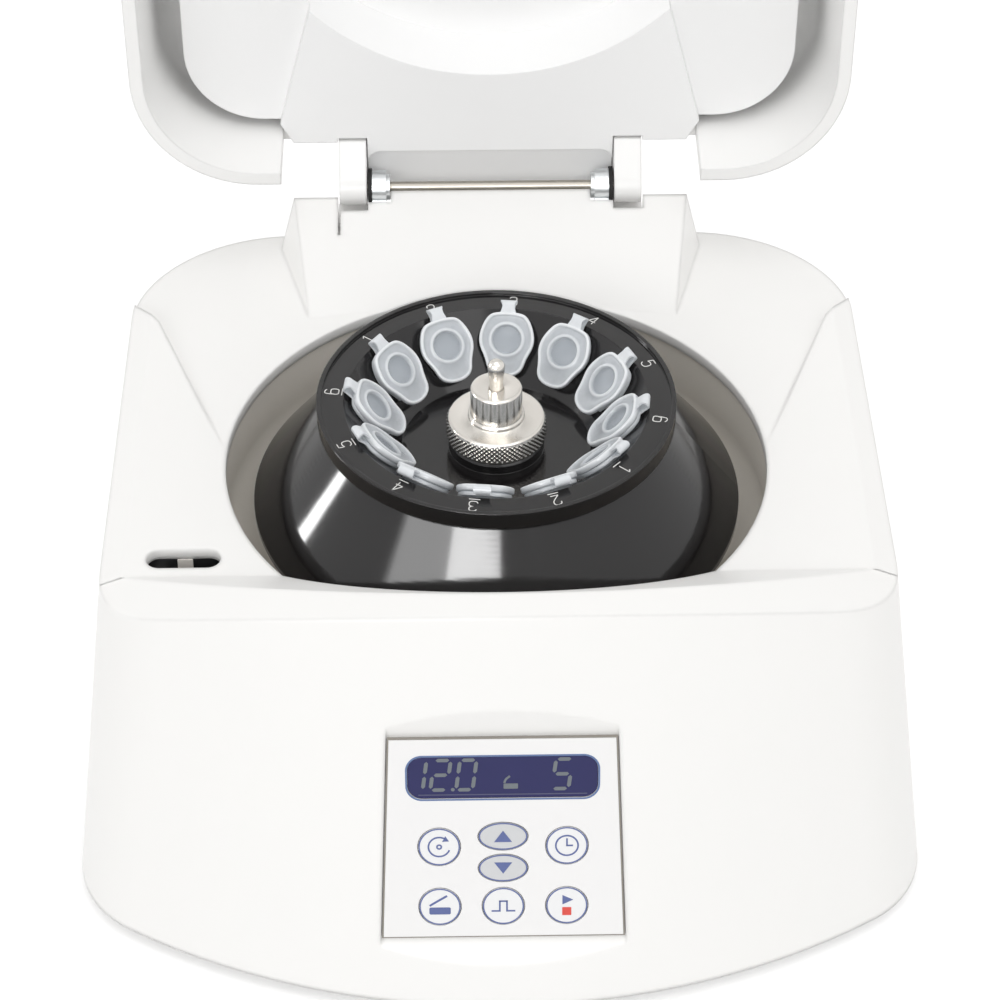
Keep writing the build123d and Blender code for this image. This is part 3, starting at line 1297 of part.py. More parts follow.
def hinge_arm(side):
    """Arm that reaches from the lid down to the hinge rod, with its eye."""
    width = ARM_OUTER - ARM_INNER
    eye = Pos(HINGE_Y, HINGE_Z) * Circle(ARM_EYE_RADIUS)
    top = DECK + LINER_RISE + LINER_THICK + ARM_OVERLAP
    low = DECK + LINER_RISE - PLATEAU_DROP
    flank = radians(ARM_FLANK_ANGLE)
    web = Polygon(
        (LINER_BACK_Y + ARM_ROOT_SETBACK, top),
        (LINER_BACK_Y + ARM_ROOT_SETBACK, low),
        (HINGE_Y - ARM_EYE_RADIUS * cos(flank), HINGE_Z - ARM_EYE_RADIUS * sin(flank)),
        (HINGE_Y + ARM_EYE_RADIUS, HINGE_Z),
        (LID_TONGUE_BACK_Y, top),
        align=None,
    )
    profile = web + eye - Pos(HINGE_Y, HINGE_Z) * Circle(ROD_RADIUS + ROD_FIT)
    plane = Plane.YZ.offset(side * (ARM_INNER + width / 2))
    return extrude(plane * profile, width / 2, both=True)


def lid_liner():
    """Inner plate of the lid: flat sides, raised centre field and the rotor's dish."""
    face = DECK + LINER_RISE
    back = face + LINER_THICK
    plan = rounded_plan(
        LINER_HALF_WIDTH, LINER_FRONT_REACH, LINER_BACK_Y,
        FRONT_BOW - LID_WALL, LID_FRONT_CORNER, LINER_CORNER)
    plate = extrude(Pos(0, 0, face) * plan, LINER_THICK)
    spread = tan(radians(PLATEAU_SPREAD))
    front_half = PLATEAU_HALF_WIDTH + (PLATEAU_FRONT_Y - PLATEAU_Y) * spread
    back_half = PLATEAU_HALF_WIDTH + (LINER_BACK_Y - PLATEAU_Y) * spread
    field = Polygon(
        (-front_half, PLATEAU_FRONT_Y),
        (front_half, PLATEAU_FRONT_Y),
        (back_half, LINER_BACK_Y),
        (SHELF_HALF_WIDTH, SHELF_BACK_Y),
        (ARM_INNER, SHELF_BACK_Y),
        (ARM_INNER, PLATEAU_BACK_Y + RECESS_ROUND),
        (-ARM_INNER, PLATEAU_BACK_Y + RECESS_ROUND),
        (-ARM_INNER, SHELF_BACK_Y),
        (-SHELF_HALF_WIDTH, SHELF_BACK_Y),
        (-back_half, LINER_BACK_Y),
        align=None,
    )
    recess_width = 2 * (ARM_INNER - SIDE_GAP)
    recess = Pos(0, PLATEAU_BACK_Y + recess_width / 2) * RectangleRounded(
        recess_width, recess_width, RECESS_ROUND)
    plateau = extrude(Pos(0, 0, face - PLATEAU_DROP) * (field - recess), PLATEAU_DROP)
    tail = Pos(0, LINER_BACK_Y, face) * Box(
        recess_width, TAIL_BACK_Y - LINER_BACK_Y, LINER_THICK, align=(Align.CENTER, Align.MIN, Align.MIN))
    rise = DECK + DISH_RISE
    low = (Align.CENTER, Align.CENTER, Align.MIN)
    cup = Pos(0, 0, face - PLATEAU_DROP) * Cone(
        DISH_MOUTH_RADIUS + DISH_WALL,
        DISH_FLOOR_RADIUS + DISH_WALL,
        rise + DISH_THICK + DISH_LEDGE - face + PLATEAU_DROP,
        align=low)
    above = Pos(0, 0, face) * Cylinder(2 * DISH_MOUTH_RADIUS, SKY, align=low)
    liner = plate + plateau + tail + (cup & above)
    mouth = Pos(0, 0, face - PLATEAU_DROP) * Cone(
        DISH_MOUTH_RADIUS, DISH_FLOOR_RADIUS, rise - face + PLATEAU_DROP, align=low)
    seat = Pos(0, 0, rise) * Cylinder(DISH_FLOOR_RADIUS, DISH_THICK, align=low)
    bore = Pos(0, 0, rise) * Cylinder(DISH_FLOOR_RADIUS - DISH_SEAT, SKY, align=low)
    liner = liner - mouth - seat - bore
    for side in (-1, 1):
        width = ARM_OUTER - ARM_INNER + 2 * SIDE_GAP
        cut = Pos(side * (ARM_INNER + ARM_OUTER) / 2, LINER_BACK_Y + ARM_CUT_SETBACK + SKY / 2, face)
        liner = liner - cut * Box(width, SKY, SKY)
    for x, y in liner_post_places():
        if y < 0:
            liner = liner - Pos(x, y, face) * Cylinder(SCREW_RADIUS + SEAT_GAP, 4 * LINER_THICK)
    return liner


def lid_dish():
    """Round plate that closes the dish over the rotor."""
    return Pos(0, 0, DECK + DISH_RISE + SEAT_GAP) * Cylinder(
        DISH_FLOOR_RADIUS - SEAT_GAP, DISH_THICK - 2 * SEAT_GAP,
        align=(Align.CENTER, Align.CENTER, Align.MIN))


def lid_screws():
    """Two screws that hold the liner at its front corners."""
    level = DECK + LINER_RISE - SEAT_GAP
    screws = [screw(LID_SCREW_LENGTH, x, y, level, True) for x, y in liner_post_places() if y < 0]
    return Compound(screws)


def lid_hook():
    """Catch plate that drops into the slot, leaning along its own arc of travel."""
    y = slot_y()
    lean = degrees(atan2(HINGE_RISE + BOLT_DEPTH, HINGE_Y - y))
    root = LINER_RISE - SEAT_GAP
    low_end = HOOK_TIP_DEPTH - BOLT_DEPTH
    length = root + HOOK_TIP_DEPTH
    plate = Pos(0, 0, length / 2 - low_end) * Box(HOOK_WIDTH, HOOK_THICK, length)
    plate = plate - Box(HOOK_EYE, 4 * HOOK_THICK, HOOK_EYE)
    plate = Pos(HOOK_X, y, DECK - BOLT_DEPTH) * Rot(X=lean) * plate
    plate = plate - Pos(HOOK_X, y, DECK + root) * Cylinder(
        SKY, SKY, align=(Align.CENTER, Align.CENTER, Align.MIN))
    shift = tan(radians(lean)) * (root + BOLT_DEPTH)
    foot_plate = Pos(HOOK_X, y - shift, DECK + root) * Box(
        HOOK_FOOT_WIDTH, HOOK_FOOT_LENGTH, HOOK_FOOT_THICK, align=(Align.CENTER, Align.CENTER, Align.MAX))
    return plate + foot_plate


def hinge_rod():
    """Plain steel rod through the collars, the washers and the arms."""
    return Pos(0, HINGE_Y, HINGE_Z) * Rot(Y=90) * Cylinder(ROD_RADIUS, 2 * ARM_OUTER - SIDE_GAP)


def hinge_washer(side):
    """Black friction washer between an arm and its collar."""
    centre = ARM_INNER - SIDE_GAP - WASHER_THICK / 2
    ring = Cylinder(WASHER_RADIUS, WASHER_THICK) - Cylinder(ROD_RADIUS + SEAT_GAP, 2 * WASHER_THICK)
    return Pos(side * centre, HINGE_Y, HINGE_Z) * Rot(Y=90) * ring


def collar_end():
    """Distance from the middle of the rod to the outer face of a collar."""
    return ARM_INNER - SIDE_GAP - WASHER_THICK - SEAT_GAP


def collar_start():
    """Distance from the middle of the rod to the inner end of a collar's pocket."""
    return collar_end() - COLLAR_LENGTH - COLLAR_STEP - SIDE_GAP


def hinge_collar(side):
    """Stepped steel collar that holds the rod, with its lug set in the hump."""
    outer = collar_end()
    step = COLLAR_LENGTH + COLLAR_STEP
    ring = Pos(side * (outer - COLLAR_LENGTH / 2), 0, 0) * Rot(Y=90) * Cylinder(
        COLLAR_RADIUS, COLLAR_LENGTH)
    ring = ring + Pos(side * (outer - step / 2), 0, 0) * Rot(Y=90) * Cylinder(
        COLLAR_RADIUS - COLLAR_STEP, step)
    collar = Pos(0, HINGE_Y, HINGE_Z) * ring + collar_lug(side, 0)
    return collar - Pos(0, HINGE_Y, HINGE_Z) * Rot(Y=90) * Cylinder(ROD_RADIUS + SEAT_GAP, 2 * SHOULDER_OUTER)


def opened(piece):
    """Swings a piece of the lid from closed to open about the hinge rod."""
    return Pos(0, HINGE_Y, HINGE_Z) * Rot(X=-LID_OPEN_ANGLE) * Pos(0, -HINGE_Y, -HINGE_Z) * piece


def all_pieces():
    """Every node's name and solid, placed about the rotor's axis."""
    pieces = {
        "upper_housing": upper_housing(),
        "base_pan": base_pan(),
        "base_screws": base_screws(),
        "rear_panel": rear_panel(),
        "mains_inlet": mains_inlet(),
        "switch_frame": switch_frame(),
        "power_rocker": power_rocker(),
        "chamber_bowl": chamber_bowl(),
        "shaft_seal": shaft_seal(),
        "rotor_body": rotor_body(),
        "rotor_knob": rotor_knob(),
        "knob_pin": knob_pin(),
        "motor_shaft": motor_shaft(),
        "motor_body": motor_body(),
        "motor_bracket": motor_bracket(),
        "motor_screws": motor_screws(),
        "power_supply": power_supply(),
        "keypad_membrane": keypad_membrane(),
        "display_window": display_window(),
        "control_board": control_board(),
        "latch_housing": latch_housing(),
        "latch_bolt": latch_bolt(),
        "bolt_solenoid": bolt_solenoid(),
        "lid_switch": lid_switch(),
        "hinge_rod": hinge_rod(),
        "lid_shell": opened(lid_shell()),
        "lid_liner": opened(lid_liner()),
        "lid_dish": opened(lid_dish()),
        "lid_screws": opened(lid_screws()),
        "lid_hook": opened(lid_hook()),
    }
    for number, (x, y) in enumerate(foot_places(), 1):
        pieces[f"foot_{number}"] = foot(x, y)
    for index in range(DAMPER_COUNT):
        pieces[f"motor_mount_{index + 1}"] = damper(index)
    for name, (x, level, kind) in key_places().items():
        pieces[name] = panel_key(x, level, kind)
    for side, word in ((-1, "left"), (1, "right")):
        pieces[f"hinge_washer_{word}"] = hinge_washer(side)
        pieces[f"hinge_collar_{word}"] = hinge_collar(side)
    tube = sample_tube()
    for index in range(TUBE_COUNT):
        pieces[f"tube_{index + 1:02d}"] = tube_frame(index) * tube
    return pieces


os.makedirs("parts", exist_ok=True)
for node, piece in all_pieces().items():
    export_step(Pos(0, AXIS_Y, 0) * piece, f"parts/{node}.step")
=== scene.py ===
import json
from math import cos, pi, radians, sin

import bpy
import numpy as np
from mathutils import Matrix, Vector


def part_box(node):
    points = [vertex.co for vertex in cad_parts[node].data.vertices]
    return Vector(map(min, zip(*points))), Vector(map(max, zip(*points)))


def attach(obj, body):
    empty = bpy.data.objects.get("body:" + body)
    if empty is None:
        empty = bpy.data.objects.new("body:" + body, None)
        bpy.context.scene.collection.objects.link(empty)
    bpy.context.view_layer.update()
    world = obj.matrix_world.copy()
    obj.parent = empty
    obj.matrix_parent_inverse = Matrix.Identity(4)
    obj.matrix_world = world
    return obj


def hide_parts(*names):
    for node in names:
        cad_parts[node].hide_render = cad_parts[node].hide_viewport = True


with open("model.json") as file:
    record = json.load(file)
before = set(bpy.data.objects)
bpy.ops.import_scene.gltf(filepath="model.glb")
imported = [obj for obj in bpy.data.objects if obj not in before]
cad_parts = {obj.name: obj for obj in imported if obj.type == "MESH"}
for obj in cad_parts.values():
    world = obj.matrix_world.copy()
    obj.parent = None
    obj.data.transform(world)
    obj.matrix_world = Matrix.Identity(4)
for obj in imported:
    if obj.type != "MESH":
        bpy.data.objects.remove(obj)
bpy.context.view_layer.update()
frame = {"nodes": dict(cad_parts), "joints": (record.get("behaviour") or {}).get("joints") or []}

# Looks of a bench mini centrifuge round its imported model. Shapes are worked out in
# millimetres in the model's own frame, and become metres when their mesh is written.
MM = 0.001
TURN = 2 * pi

# Places on the rotor, as levels above the deck and distances from the axis
RIM_RISE = 20.5
RIM_TOP_RISE = 19.7
TUBE_COUNT = 12
TUBE_TILT = 45.0
TUBE_CAP_RADIUS = 32.3
TUBE_CAP_RISE = 14.8
FIRST_TUBE_ANGLE = 84.0
TUBE_SEAT = -1.44
TUBE_BARREL = 5.4
TUBE_BARREL_LENGTH = 23.0
TUBE_LENGTH = 39.0
TUBE_TIP = 2.4
FLANGE_THICK = 1.4
CAP_THICK = 1.75
BOSS_RISE = 8.0
KNOB_RADIUS = 13.3
KNOB_DISC = 6.4
BARREL_RADIUS = 6.8
BARREL_TOP_RISE = 24.0
PIN_RADIUS = 1.85

# Distance between the fine turning lines on rotor and knob
TURNING_PITCH = 0.28

# Knurl of the knob: diamonds round the disc, points to each, their height and depth
KNURL_DIAMONDS = 60
KNURL_POINTS = 6
KNURL_PITCH = 1.38
KNURL_DEPTH = 0.5

# Hinge straps of the caps: thickness, widest half width and how much it narrows
STRAP_THICK = 0.48
STRAP_HALF_WIDTH = 2.3
STRAP_WAIST = 0.65

# Panel prints: levels over the surface they are printed on, and widths of their lines
PRINT_LIFT = 0.01
PRINT_THICK = 0.05
LOW, HIGH = PRINT_LIFT, PRINT_LIFT + PRINT_THICK
RING_WIDTH = 0.34
SIGN_LINE = 0.42
BOLD_LINE = 0.55
ARROW_HALF_WIDTH = 2.25
ARROW_HEIGHT = 3.2

# How far a point may lie from a face or an edge and still count as on it
FACE_SLACK = 0.05
EDGE_SLACK = 0.01

# Display: digits with their places, and the margins of the border round it
DIGITS = (("1", -21.4), ("2", -15.4), ("0", -9.0), ("5", 14.8))
DIGIT_HEIGHT = 8.2
DIGIT_RISE = 0.75
DIGIT_BAR = 0.118
DIGIT_LEAN = 0.13
BORDER_OUTER, BORDER_INNER = 1.15, 0.25
BORDER_CORNERS = (4.15, 3.75)
# Width of the painted reflection of the bezel along the display's lower edge
BEZEL_REFLECTION_WIDTH = 0.3

# Painted shade round the overlay: a dark ring in its seam, with margins past its outline and levels
# from its face
SEAM_OUTER, SEAM_INNER = 0.42, 0.03
SEAM_LOW, SEAM_HIGH = -0.9, -0.2

# Metal leaf in the latch box: its size, and its place from the box's outer corners
LATCH_WALL = 1.5
LEAF_WIDTH, LEAF_HEIGHT, LEAF_THICK = 4.0, 3.6, 0.3
LEAF_DROP = 1.95


def corners(node):
    """Lowest and highest corner of a node at rest, in millimetres."""
    low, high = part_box(node)
    return np.array(low) / MM, np.array(high) / MM


def node_points(node):
    """All points of a node's mesh, in millimetres."""
    mesh = frame["nodes"][node].data
    points = np.empty(3 * len(mesh.vertices))
    mesh.vertices.foreach_get("co", points)
    return points.reshape(-1, 3) / MM


shaft_low, shaft_high = corners("motor_shaft")
AXIS = (shaft_low + shaft_high) / 2
DECK = corners("rotor_body")[1][2] - RIM_RISE


# Materials

class Signal:
    """A shader socket with arithmetic: a sum on it adds its Math node."""

    def __init__(self, finish, socket):
        self.finish = finish
        self.socket = socket

    def calc(self, operation, *values):
        inputs = dict(enumerate((self,) + values))
        return self.finish.node("ShaderNodeMath", {"operation": operation}, inputs)

    def __add__(self, other):
        return self.calc("ADD", other)

    def __mul__(self, other):
        return self.calc("MULTIPLY", other)

    def __sub__(self, other):
        return self.calc("SUBTRACT", other)

    def __rsub__(self, other):
        return self.calc("MULTIPLY", -1.0).calc("ADD", other)

    __radd__ = __add__
    __rmul__ = __mul__

    def above(self, edge, width):
        """0 below the edge, 1 above it, with a ramp of that width."""
        ramp = (self - edge) * (1.0 / width)
        return ramp.calc("MAXIMUM", 0.0).calc("MINIMUM", 1.0)

    def sine(self):
        return self.calc("SINE")

    def most(self, other):
        return self.calc("MAXIMUM", other)


class Finish:
    """A node tree in the making, with one method that adds any node."""

    def __init__(self, owner):
        owner.use_nodes = True
        self.owner = owner
        self.tree = owner.node_tree

    def put(self, socket, value):
        """Sets a socket to a value, or links it where the value is a signal."""
        if isinstance(value, Signal):
            self.tree.links.new(value.socket, socket)
        elif isinstance(value, tuple) and len(value) == 3 and len(socket.default_value) == 4:
            socket.default_value = (*value, 1.0)
        else:
            socket.default_value = value

    def node(self, kind, settings=None, inputs=None, output=0):
        """Adds a node: its type, its settings, then the values or links of its sockets."""
        node = self.tree.nodes.new(kind)
        for key, value in (settings or {}).items():
            setattr(node, key, value)
        for key, value in (inputs or {}).items():
            self.put(node.inputs[key], value)
        return Signal(self, node.outputs[output])

    def seen(self):
        """1 for what the camera sees, itself, in gloss or through glass, and else 0."""
        path = self.node("ShaderNodeLightPath").socket.node
        camera, gloss, glass = (
            Signal(self, path.outputs[kind])
            for kind in ("Is Camera Ray", "Is Glossy Ray", "Is Transmission Ray"))
        return camera.most(gloss).most(glass)


class Paint(Finish):
    """A surface finish round one shader, patterned by Object coordinates in metres."""

    def __init__(self, name, colour, roughness, metallic=0.0, specular=0.5):
        super().__init__(bpy.data.materials.new(name))
        self.shader = self.tree.nodes["Principled BSDF"]
        self.place = self.node("ShaderNodeTexCoord", output="Object")
        self.colour = colour
        self.set("Base Color", colour)
        self.set("Roughness", roughness)
        self.set("Metallic", metallic)
        self.set("Specular IOR Level", specular)

    def set(self, name, value):
        self.put(self.shader.inputs[name], value)

    def noise(self, size, detail=2.0, stretch=(1.0, 1.0, 1.0)):
        """Noise whose grains are about that many millimetres across."""
        place = self.node("ShaderNodeMapping", None, {"Vector": self.place, "Scale": stretch})
        return self.node("ShaderNodeTexNoise", None, {
            "Vector": place, "Scale": 1.0 / (size * MM), "Detail": detail}, "Fac")

    def mix(self, factor, first, second):
        """Colour that runs from the first to the second with the factor."""
        inputs = {0: factor, 6: first, 7: second}
        return self.node("ShaderNodeMix", {"data_type": "RGBA"}, inputs, 2)

    def mottle(self, size, amount):
        """Lets the base colour drift a little, in patches of that size."""
        dark = tuple(max(c * (1 - amount), 0.0) for c in self.colour)
        light = tuple(min(c * (1 + amount), 1.0) for c in self.colour)
        self.set("Base Color", self.mix(self.noise(size), dark, light))
        return self

    def polish(self, size, low, high):
        """Lets the roughness drift between two values, in patches of that size."""
        self.set("Roughness", self.noise(size) * (high - low) + low)
        return self

    def relief(self, height, depth, edge=0.0):
        """Raises the surface by a height signal; edge softens corners by that radius."""
        inputs = {"Height": height, "Distance": depth * MM, "Strength": 1.0}
        if edge:
            inputs["Normal"] = self.soft_edge(edge)
        self.set("Normal", self.node("ShaderNodeBump", None, inputs))
        return self

    def soft_edge(self, edge):
        return self.node("ShaderNodeBevel", {"samples": 6}, {"Radius": edge * MM})

    def vector(self, operation, *values, output=0):
        """Adds a vector calculation with its values."""
        settings = {"operation": operation}
        return self.node("ShaderNodeVectorMath", settings, dict(enumerate(values)), output)

    def lathe(self, centre):
        """Distance in metres from the upright line through the centre, plus the height, so
        that its level lines are turning lines on flats and barrels."""
        place = self.vector("SUBTRACT", self.place, tuple(c * MM for c in centre))
        across = self.vector("MULTIPLY", place, (1.0, 1.0, 0.0))
        away = self.vector("LENGTH", across, output="Value")
        return away + self.node("ShaderNodeSeparateXYZ", None, {0: place}, "Z")

    @property
    def material(self):
        return self.owner


def moulded(name, colour, roughness, grain=0.5, depth=0.012, edge=0.0):
    """Injection moulded plastic with a fine spark-eroded texture."""
    paint = Paint(name, colour, roughness, specular=0.45)
    paint.mottle(38.0, 0.008).polish(9.0, roughness - 0.04, roughness + 0.05)
    return paint.relief(paint.noise(grain, 3.0), depth, edge).material


def turned_surface(name, colour, roughness, depth, metallic=1.0, specular=0.5):
    """Surface with fine turning lines round the rotor's axis."""
    paint = Paint(name, colour, roughness, metallic, specular)
    lines = paint.lathe(AXIS) * (TURN / (TURNING_PITCH * MM))
    rings = (lines + paint.noise(6.0) * 4.0).sine()
    paint.polish(2.5, roughness * 0.8, roughness * 1.25)
    return paint.relief(rings, depth, 0.45).material


def plain_metal(name, colour, roughness):
    """Bare or plated metal with a faint drawn surface."""
    paint = Paint(name, colour, roughness, 1.0)
    paint.mottle(4.0, 0.03).polish(1.5, roughness * 0.8, roughness * 1.3)
    return paint.relief(paint.noise(0.6, 3.0, (1.0, 6.0, 1.0)), 0.01, 0.2).material


def rubber(name, colour):
    """Matt moulded rubber."""
    paint = Paint(name, colour, 0.75, specular=0.3)
    paint.mottle(2.0, 0.12)
    return paint.relief(paint.noise(0.25, 4.0), 0.03, 0.3).material


def printed(name, colour):
    """Screen-printed ink, a little uneven."""
    paint = Paint(name, colour, 0.45)
    paint.mottle(0.8, 0.06).polish(0.6, 0.4, 0.5)
    return paint.relief(paint.noise(0.12), 0.002).material


def tube_plastic(name):
    """Milky clear moulding: thin parts let the dark rotor through, thick rims don't."""
    paint = Paint(name, (0.84, 0.88, 0.91), 0.3, specular=0.5)
    body = paint.node("ShaderNodeAttribute", {"attribute_name": "body"}, None, "Fac")
    haze = paint.noise(2.2, 2.0) * 0.12
    paint.set("Alpha", (body + haze - 0.06).calc("MINIMUM", 1.0))
    paint.set("Base Color", paint.mix(body, (0.62, 0.68, 0.75), (0.90, 0.92, 0.94)))
    paint.polish(3.0, 0.22, 0.38)
    return paint.relief(paint.noise(0.9, 2.0), 0.02).material


def display_glass(name):
    """Blue display behind its clear lens."""
    paint = Paint(name, (0.028, 0.029, 0.112), 0.2, specular=0.25)
    paint.mottle(6.0, 0.06).polish(5.0, 0.1, 0.16)
    return paint.relief(paint.noise(3.0), 0.004, 0.3).material


def circuit(name):
    """Green lacquered board with fine tracks."""
    paint = Paint(name, (0.02, 0.13, 0.06), 0.4)
    tracks = paint.noise(1.6, 0.0, (1.0, 0.2, 1.0)).above(0.52, 0.02)
    paint.set("Base Color", paint.mix(tracks, (0.02, 0.12, 0.05), (0.04, 0.2, 0.09)))
    return paint.relief(tracks, 0.02).material


# Textures that several mouldings share
DARK = {"grain": 0.4, "depth": 0.02, "edge": 0.3}
SMOOTH = {"grain": 0.3, "depth": 0.004, "edge": 0.15}

body_white = moulded("body_white", (0.925, 0.92, 0.908), 0.4, edge=2.0)
lid_white = moulded("lid_white", (0.94, 0.937, 0.928), 0.4, edge=0.9)
liner_white = moulded("liner_white", (0.945, 0.946, 0.947), 0.5, grain=0.7, edge=0.6)
dish_white = moulded("dish_white", (0.96, 0.96, 0.96), 0.35, grain=1.2, depth=0.008)
pan_white = moulded("pan_white", (0.78, 0.77, 0.75), 0.55, edge=0.5)
bowl_grey = moulded("bowl_grey", (0.95, 0.905, 0.83), 0.42, grain=0.6, edge=0.4)
black_plastic = moulded("black_plastic", (0.018, 0.018, 0.019), 0.4, **DARK)
dark_plastic = moulded("dark_plastic", (0.05, 0.05, 0.052), 0.5, **DARK)
overlay_white = moulded("overlay_white", (0.89, 0.885, 0.885), 0.3, **SMOOTH)
key_white = moulded("key_white", (0.87, 0.875, 0.885), 0.3, **SMOOTH)
key_grey = moulded("key_grey", (0.64, 0.65, 0.665), 0.35, grain=0.3, depth=0.006, edge=0.15)
rotor_black = turned_surface(
    "rotor_black", (0.010, 0.009, 0.0093), 0.1, 0.0008, metallic=0.0, specular=0.52)
nickel = turned_surface("nickel", (0.74, 0.71, 0.665), 0.18, 0.003)
steel = plain_metal("steel", (0.56, 0.56, 0.55), 0.25)
zinc = plain_metal("zinc", (0.62, 0.63, 0.64), 0.38)
switch_metal = plain_metal("switch_metal", (0.80, 0.79, 0.77), 0.4)
rod_steel = plain_metal("rod_steel", (0.40, 0.375, 0.33), 0.35)
collar_steel = plain_metal("collar_steel", (0.74, 0.76, 0.77), 0.3)
# Pale matt moulding in place of tin: its pale colour is painted reflection, standing in for the
# shine of the metal leaf
leaf_painted_shine = moulded("leaf_painted_shine", (0.92, 0.87, 0.82), 0.35)
foot_rubber = rubber("foot_rubber", (0.03, 0.03, 0.03))
seal_rubber = rubber("seal_rubber", (0.02, 0.02, 0.02))
washer_black = rubber("washer_black", (0.015, 0.015, 0.015))
ink_blue = printed("ink_blue", (0.10, 0.135, 0.33))
ink_pale_blue = printed("ink_pale_blue", (0.105, 0.17, 0.35))
ink_red = printed("ink_red", (0.72, 0.07, 0.05))
ink_white = printed("ink_white", (0.8, 0.8, 0.78))
segment_grey = printed("segment_grey", (0.15, 0.17, 0.19))
# Grey blue of the painted bezel reflection on the display
bezel_reflection_grey = printed("bezel_reflection_grey", (0.07, 0.075, 0.155))
# Dark brown of the painted shade in the gap round the overlay
seam_shade_brown = printed("seam_shade_brown", (0.27, 0.25, 0.22))
clear_tube = tube_plastic("clear_tube")
display_blue = display_glass("display_blue")
board_green = circuit("board_green")

NODE_FINISH = {
    "upper_housing": body_white,
    "base_pan": pan_white,
    "base_screws": zinc,
    "rear_panel": dark_plastic,
    "mains_inlet": black_plastic,
    "switch_frame": black_plastic,
    "power_rocker": black_plastic,
    "chamber_bowl": bowl_grey,
    "shaft_seal": seal_rubber,
    "rotor_body": rotor_black,
    "rotor_knob": nickel,
    "knob_pin": nickel,
    "motor_shaft": steel,
    "motor_body": dark_plastic,
    "motor_bracket": zinc,
    "motor_screws": zinc,
    "power_supply": board_green,
    "keypad_membrane": overlay_white,
    "display_window": display_blue,
    "control_board": board_green,
    "latch_housing": black_plastic,
    "latch_bolt": steel,
    "bolt_solenoid": zinc,
    "lid_switch": switch_metal,
    "hinge_rod": rod_steel,
    "lid_shell": lid_white,
    "lid_liner": liner_white,
    "lid_dish": dish_white,
    "lid_screws": zinc,
    "lid_hook": steel,
    "key_up": key_grey,
    "key_down": key_grey,
}
FAMILY_FINISH = {
    "foot_": foot_rubber, "motor_mount_": seal_rubber, "key_": key_white,
    "hinge_washer_": washer_black, "hinge_collar_": collar_steel, "tube_": clear_tube,
}


def finish_of(node):
    """A node's own finish, or that of its family."""
    if node in NODE_FINISH:
        return NODE_FINISH[node]
    return next(paint for stem, paint in FAMILY_FINISH.items() if node.startswith(stem))


for node, thing in frame["nodes"].items():
    for place in thing.material_slots:
        place.material = finish_of(node)


# Shapes

class Form:
    """Surfaces gathered into one piece. Each is a grid of points, rows by columns."""

    def __init__(self):
        self.points = []
        self.faces = []
        self.marks = []
        self.count = 0

    def grid(self, rows, loop_rows=False, mark=1.0):
        """Adds a closed grid: the last column joins the first, and either the last row
        joins the first or both are closed by a fan to the row's mean point. It is turned
        so that the sum of its corner products, its volume, is positive."""
        rows = np.asarray(rows, float)
        high, wide = rows.shape[:2]
        index = np.arange(high * wide).reshape(high, wide)
        index = np.concatenate([index, index[:, :1]], 1)
        if loop_rows:
            index = np.concatenate([index, index[:1]], 0)
        quads = np.stack([index[:-1, :-1], index[:-1, 1:], index[1:, 1:], index[1:, :-1]], -1)
        faces = quads.reshape(-1, 4)
        points = rows.reshape(-1, 3)
        marks = np.broadcast_to(np.asarray(mark, float).reshape(-1, 1), (high, wide)).reshape(-1)
        fans = []
        if not loop_rows:
            for row, order in ((0, 1), (-1, -1)):
                centre = len(points)
                points = np.concatenate([points, rows[row].mean(0)[None]])
                marks = np.append(marks, marks[index[row, 0]])
                ring = index[row][::order]
                hub = np.full(len(ring) - 1, centre)
                fans.append(np.stack([ring[1:], ring[:-1], hub], -1))
        triangles = np.concatenate([faces[:, :3], faces[:, [0, 2, 3]], *fans])
        a, b, c = (points[triangles[:, k]] - points.mean(0) for k in range(3))
        if np.einsum("ij,ij->i", a, np.cross(b, c)).sum() < 0:
            faces = faces[:, ::-1]
            fans = [fan[:, ::-1] for fan in fans]
        self.points.append(points)
        self.marks.append(marks)
        for block in (faces, *fans):
            self.faces += (block + self.count).tolist()
        self.count += len(points)

    def piece(self, name, material, body, replaces=(), crease=38.0):
        """Writes the gathered surfaces as one object that rides on a body."""
        mesh = bpy.data.meshes.new(name)
        mesh.from_pydata(np.concatenate(self.points) * MM, [], self.faces)
        mesh.polygons.foreach_set("use_smooth", np.ones(len(mesh.polygons), bool))
        mesh.set_sharp_from_angle(angle=radians(crease))
        marks = mesh.attributes.new("body", "FLOAT", "POINT")
        marks.data.foreach_set("value", np.concatenate(self.marks))
        mesh.materials.append(material)
        thing = bpy.data.objects.new(name, mesh)
        bpy.context.scene.collection.objects.link(thing)
        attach(thing, body)
        if replaces:
            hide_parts(*replaces)


class Face:
    """A flat place: an origin, the direction across, the direction up and the normal."""

    def __init__(self, origin, across, up):
        self.origin = np.asarray(origin, float)
        self.across = np.asarray(across, float)
        self.up = np.asarray(up, float)
        self.normal = np.cross(self.across, self.up)

    def at(self, flat, out):
        """Points of the place: flat holds across and up, and out is the height."""
        flat = np.asarray(flat, float)
        out = np.broadcast_to(np.asarray(out, float), flat.shape[:-1])[..., None]
        in_plane = flat[..., :1] * self.across + flat[..., 1:2] * self.up
        return self.origin + in_plane + out * self.normal

    def moved(self, x, y):
        return Face(self.at((x, y), 0.0), self.across, self.up)


def oval(width, height, count=64):
    """Ellipse: half the width times the cosine, half the height times the sine."""
    angle = np.arange(count) / count * TURN
    return np.stack([width / 2 * np.cos(angle), height / 2 * np.sin(angle)], -1)


def soft_rectangle(width, height, corner, count=16):
    """Rectangle with round corners: quarter circles set in from each corner."""
    quarter = np.linspace(0, pi / 2, count)
    arcs = []
    for turn, sx, sy in ((0, 1, 1), (1, -1, 1), (2, -1, -1), (3, 1, -1)):
        angle = quarter + turn * pi / 2
        centre = np.array([sx * (width / 2 - corner), sy * (height / 2 - corner)])
        arcs.append(centre + corner * np.stack([np.cos(angle), np.sin(angle)], -1))
    return np.concatenate(arcs)


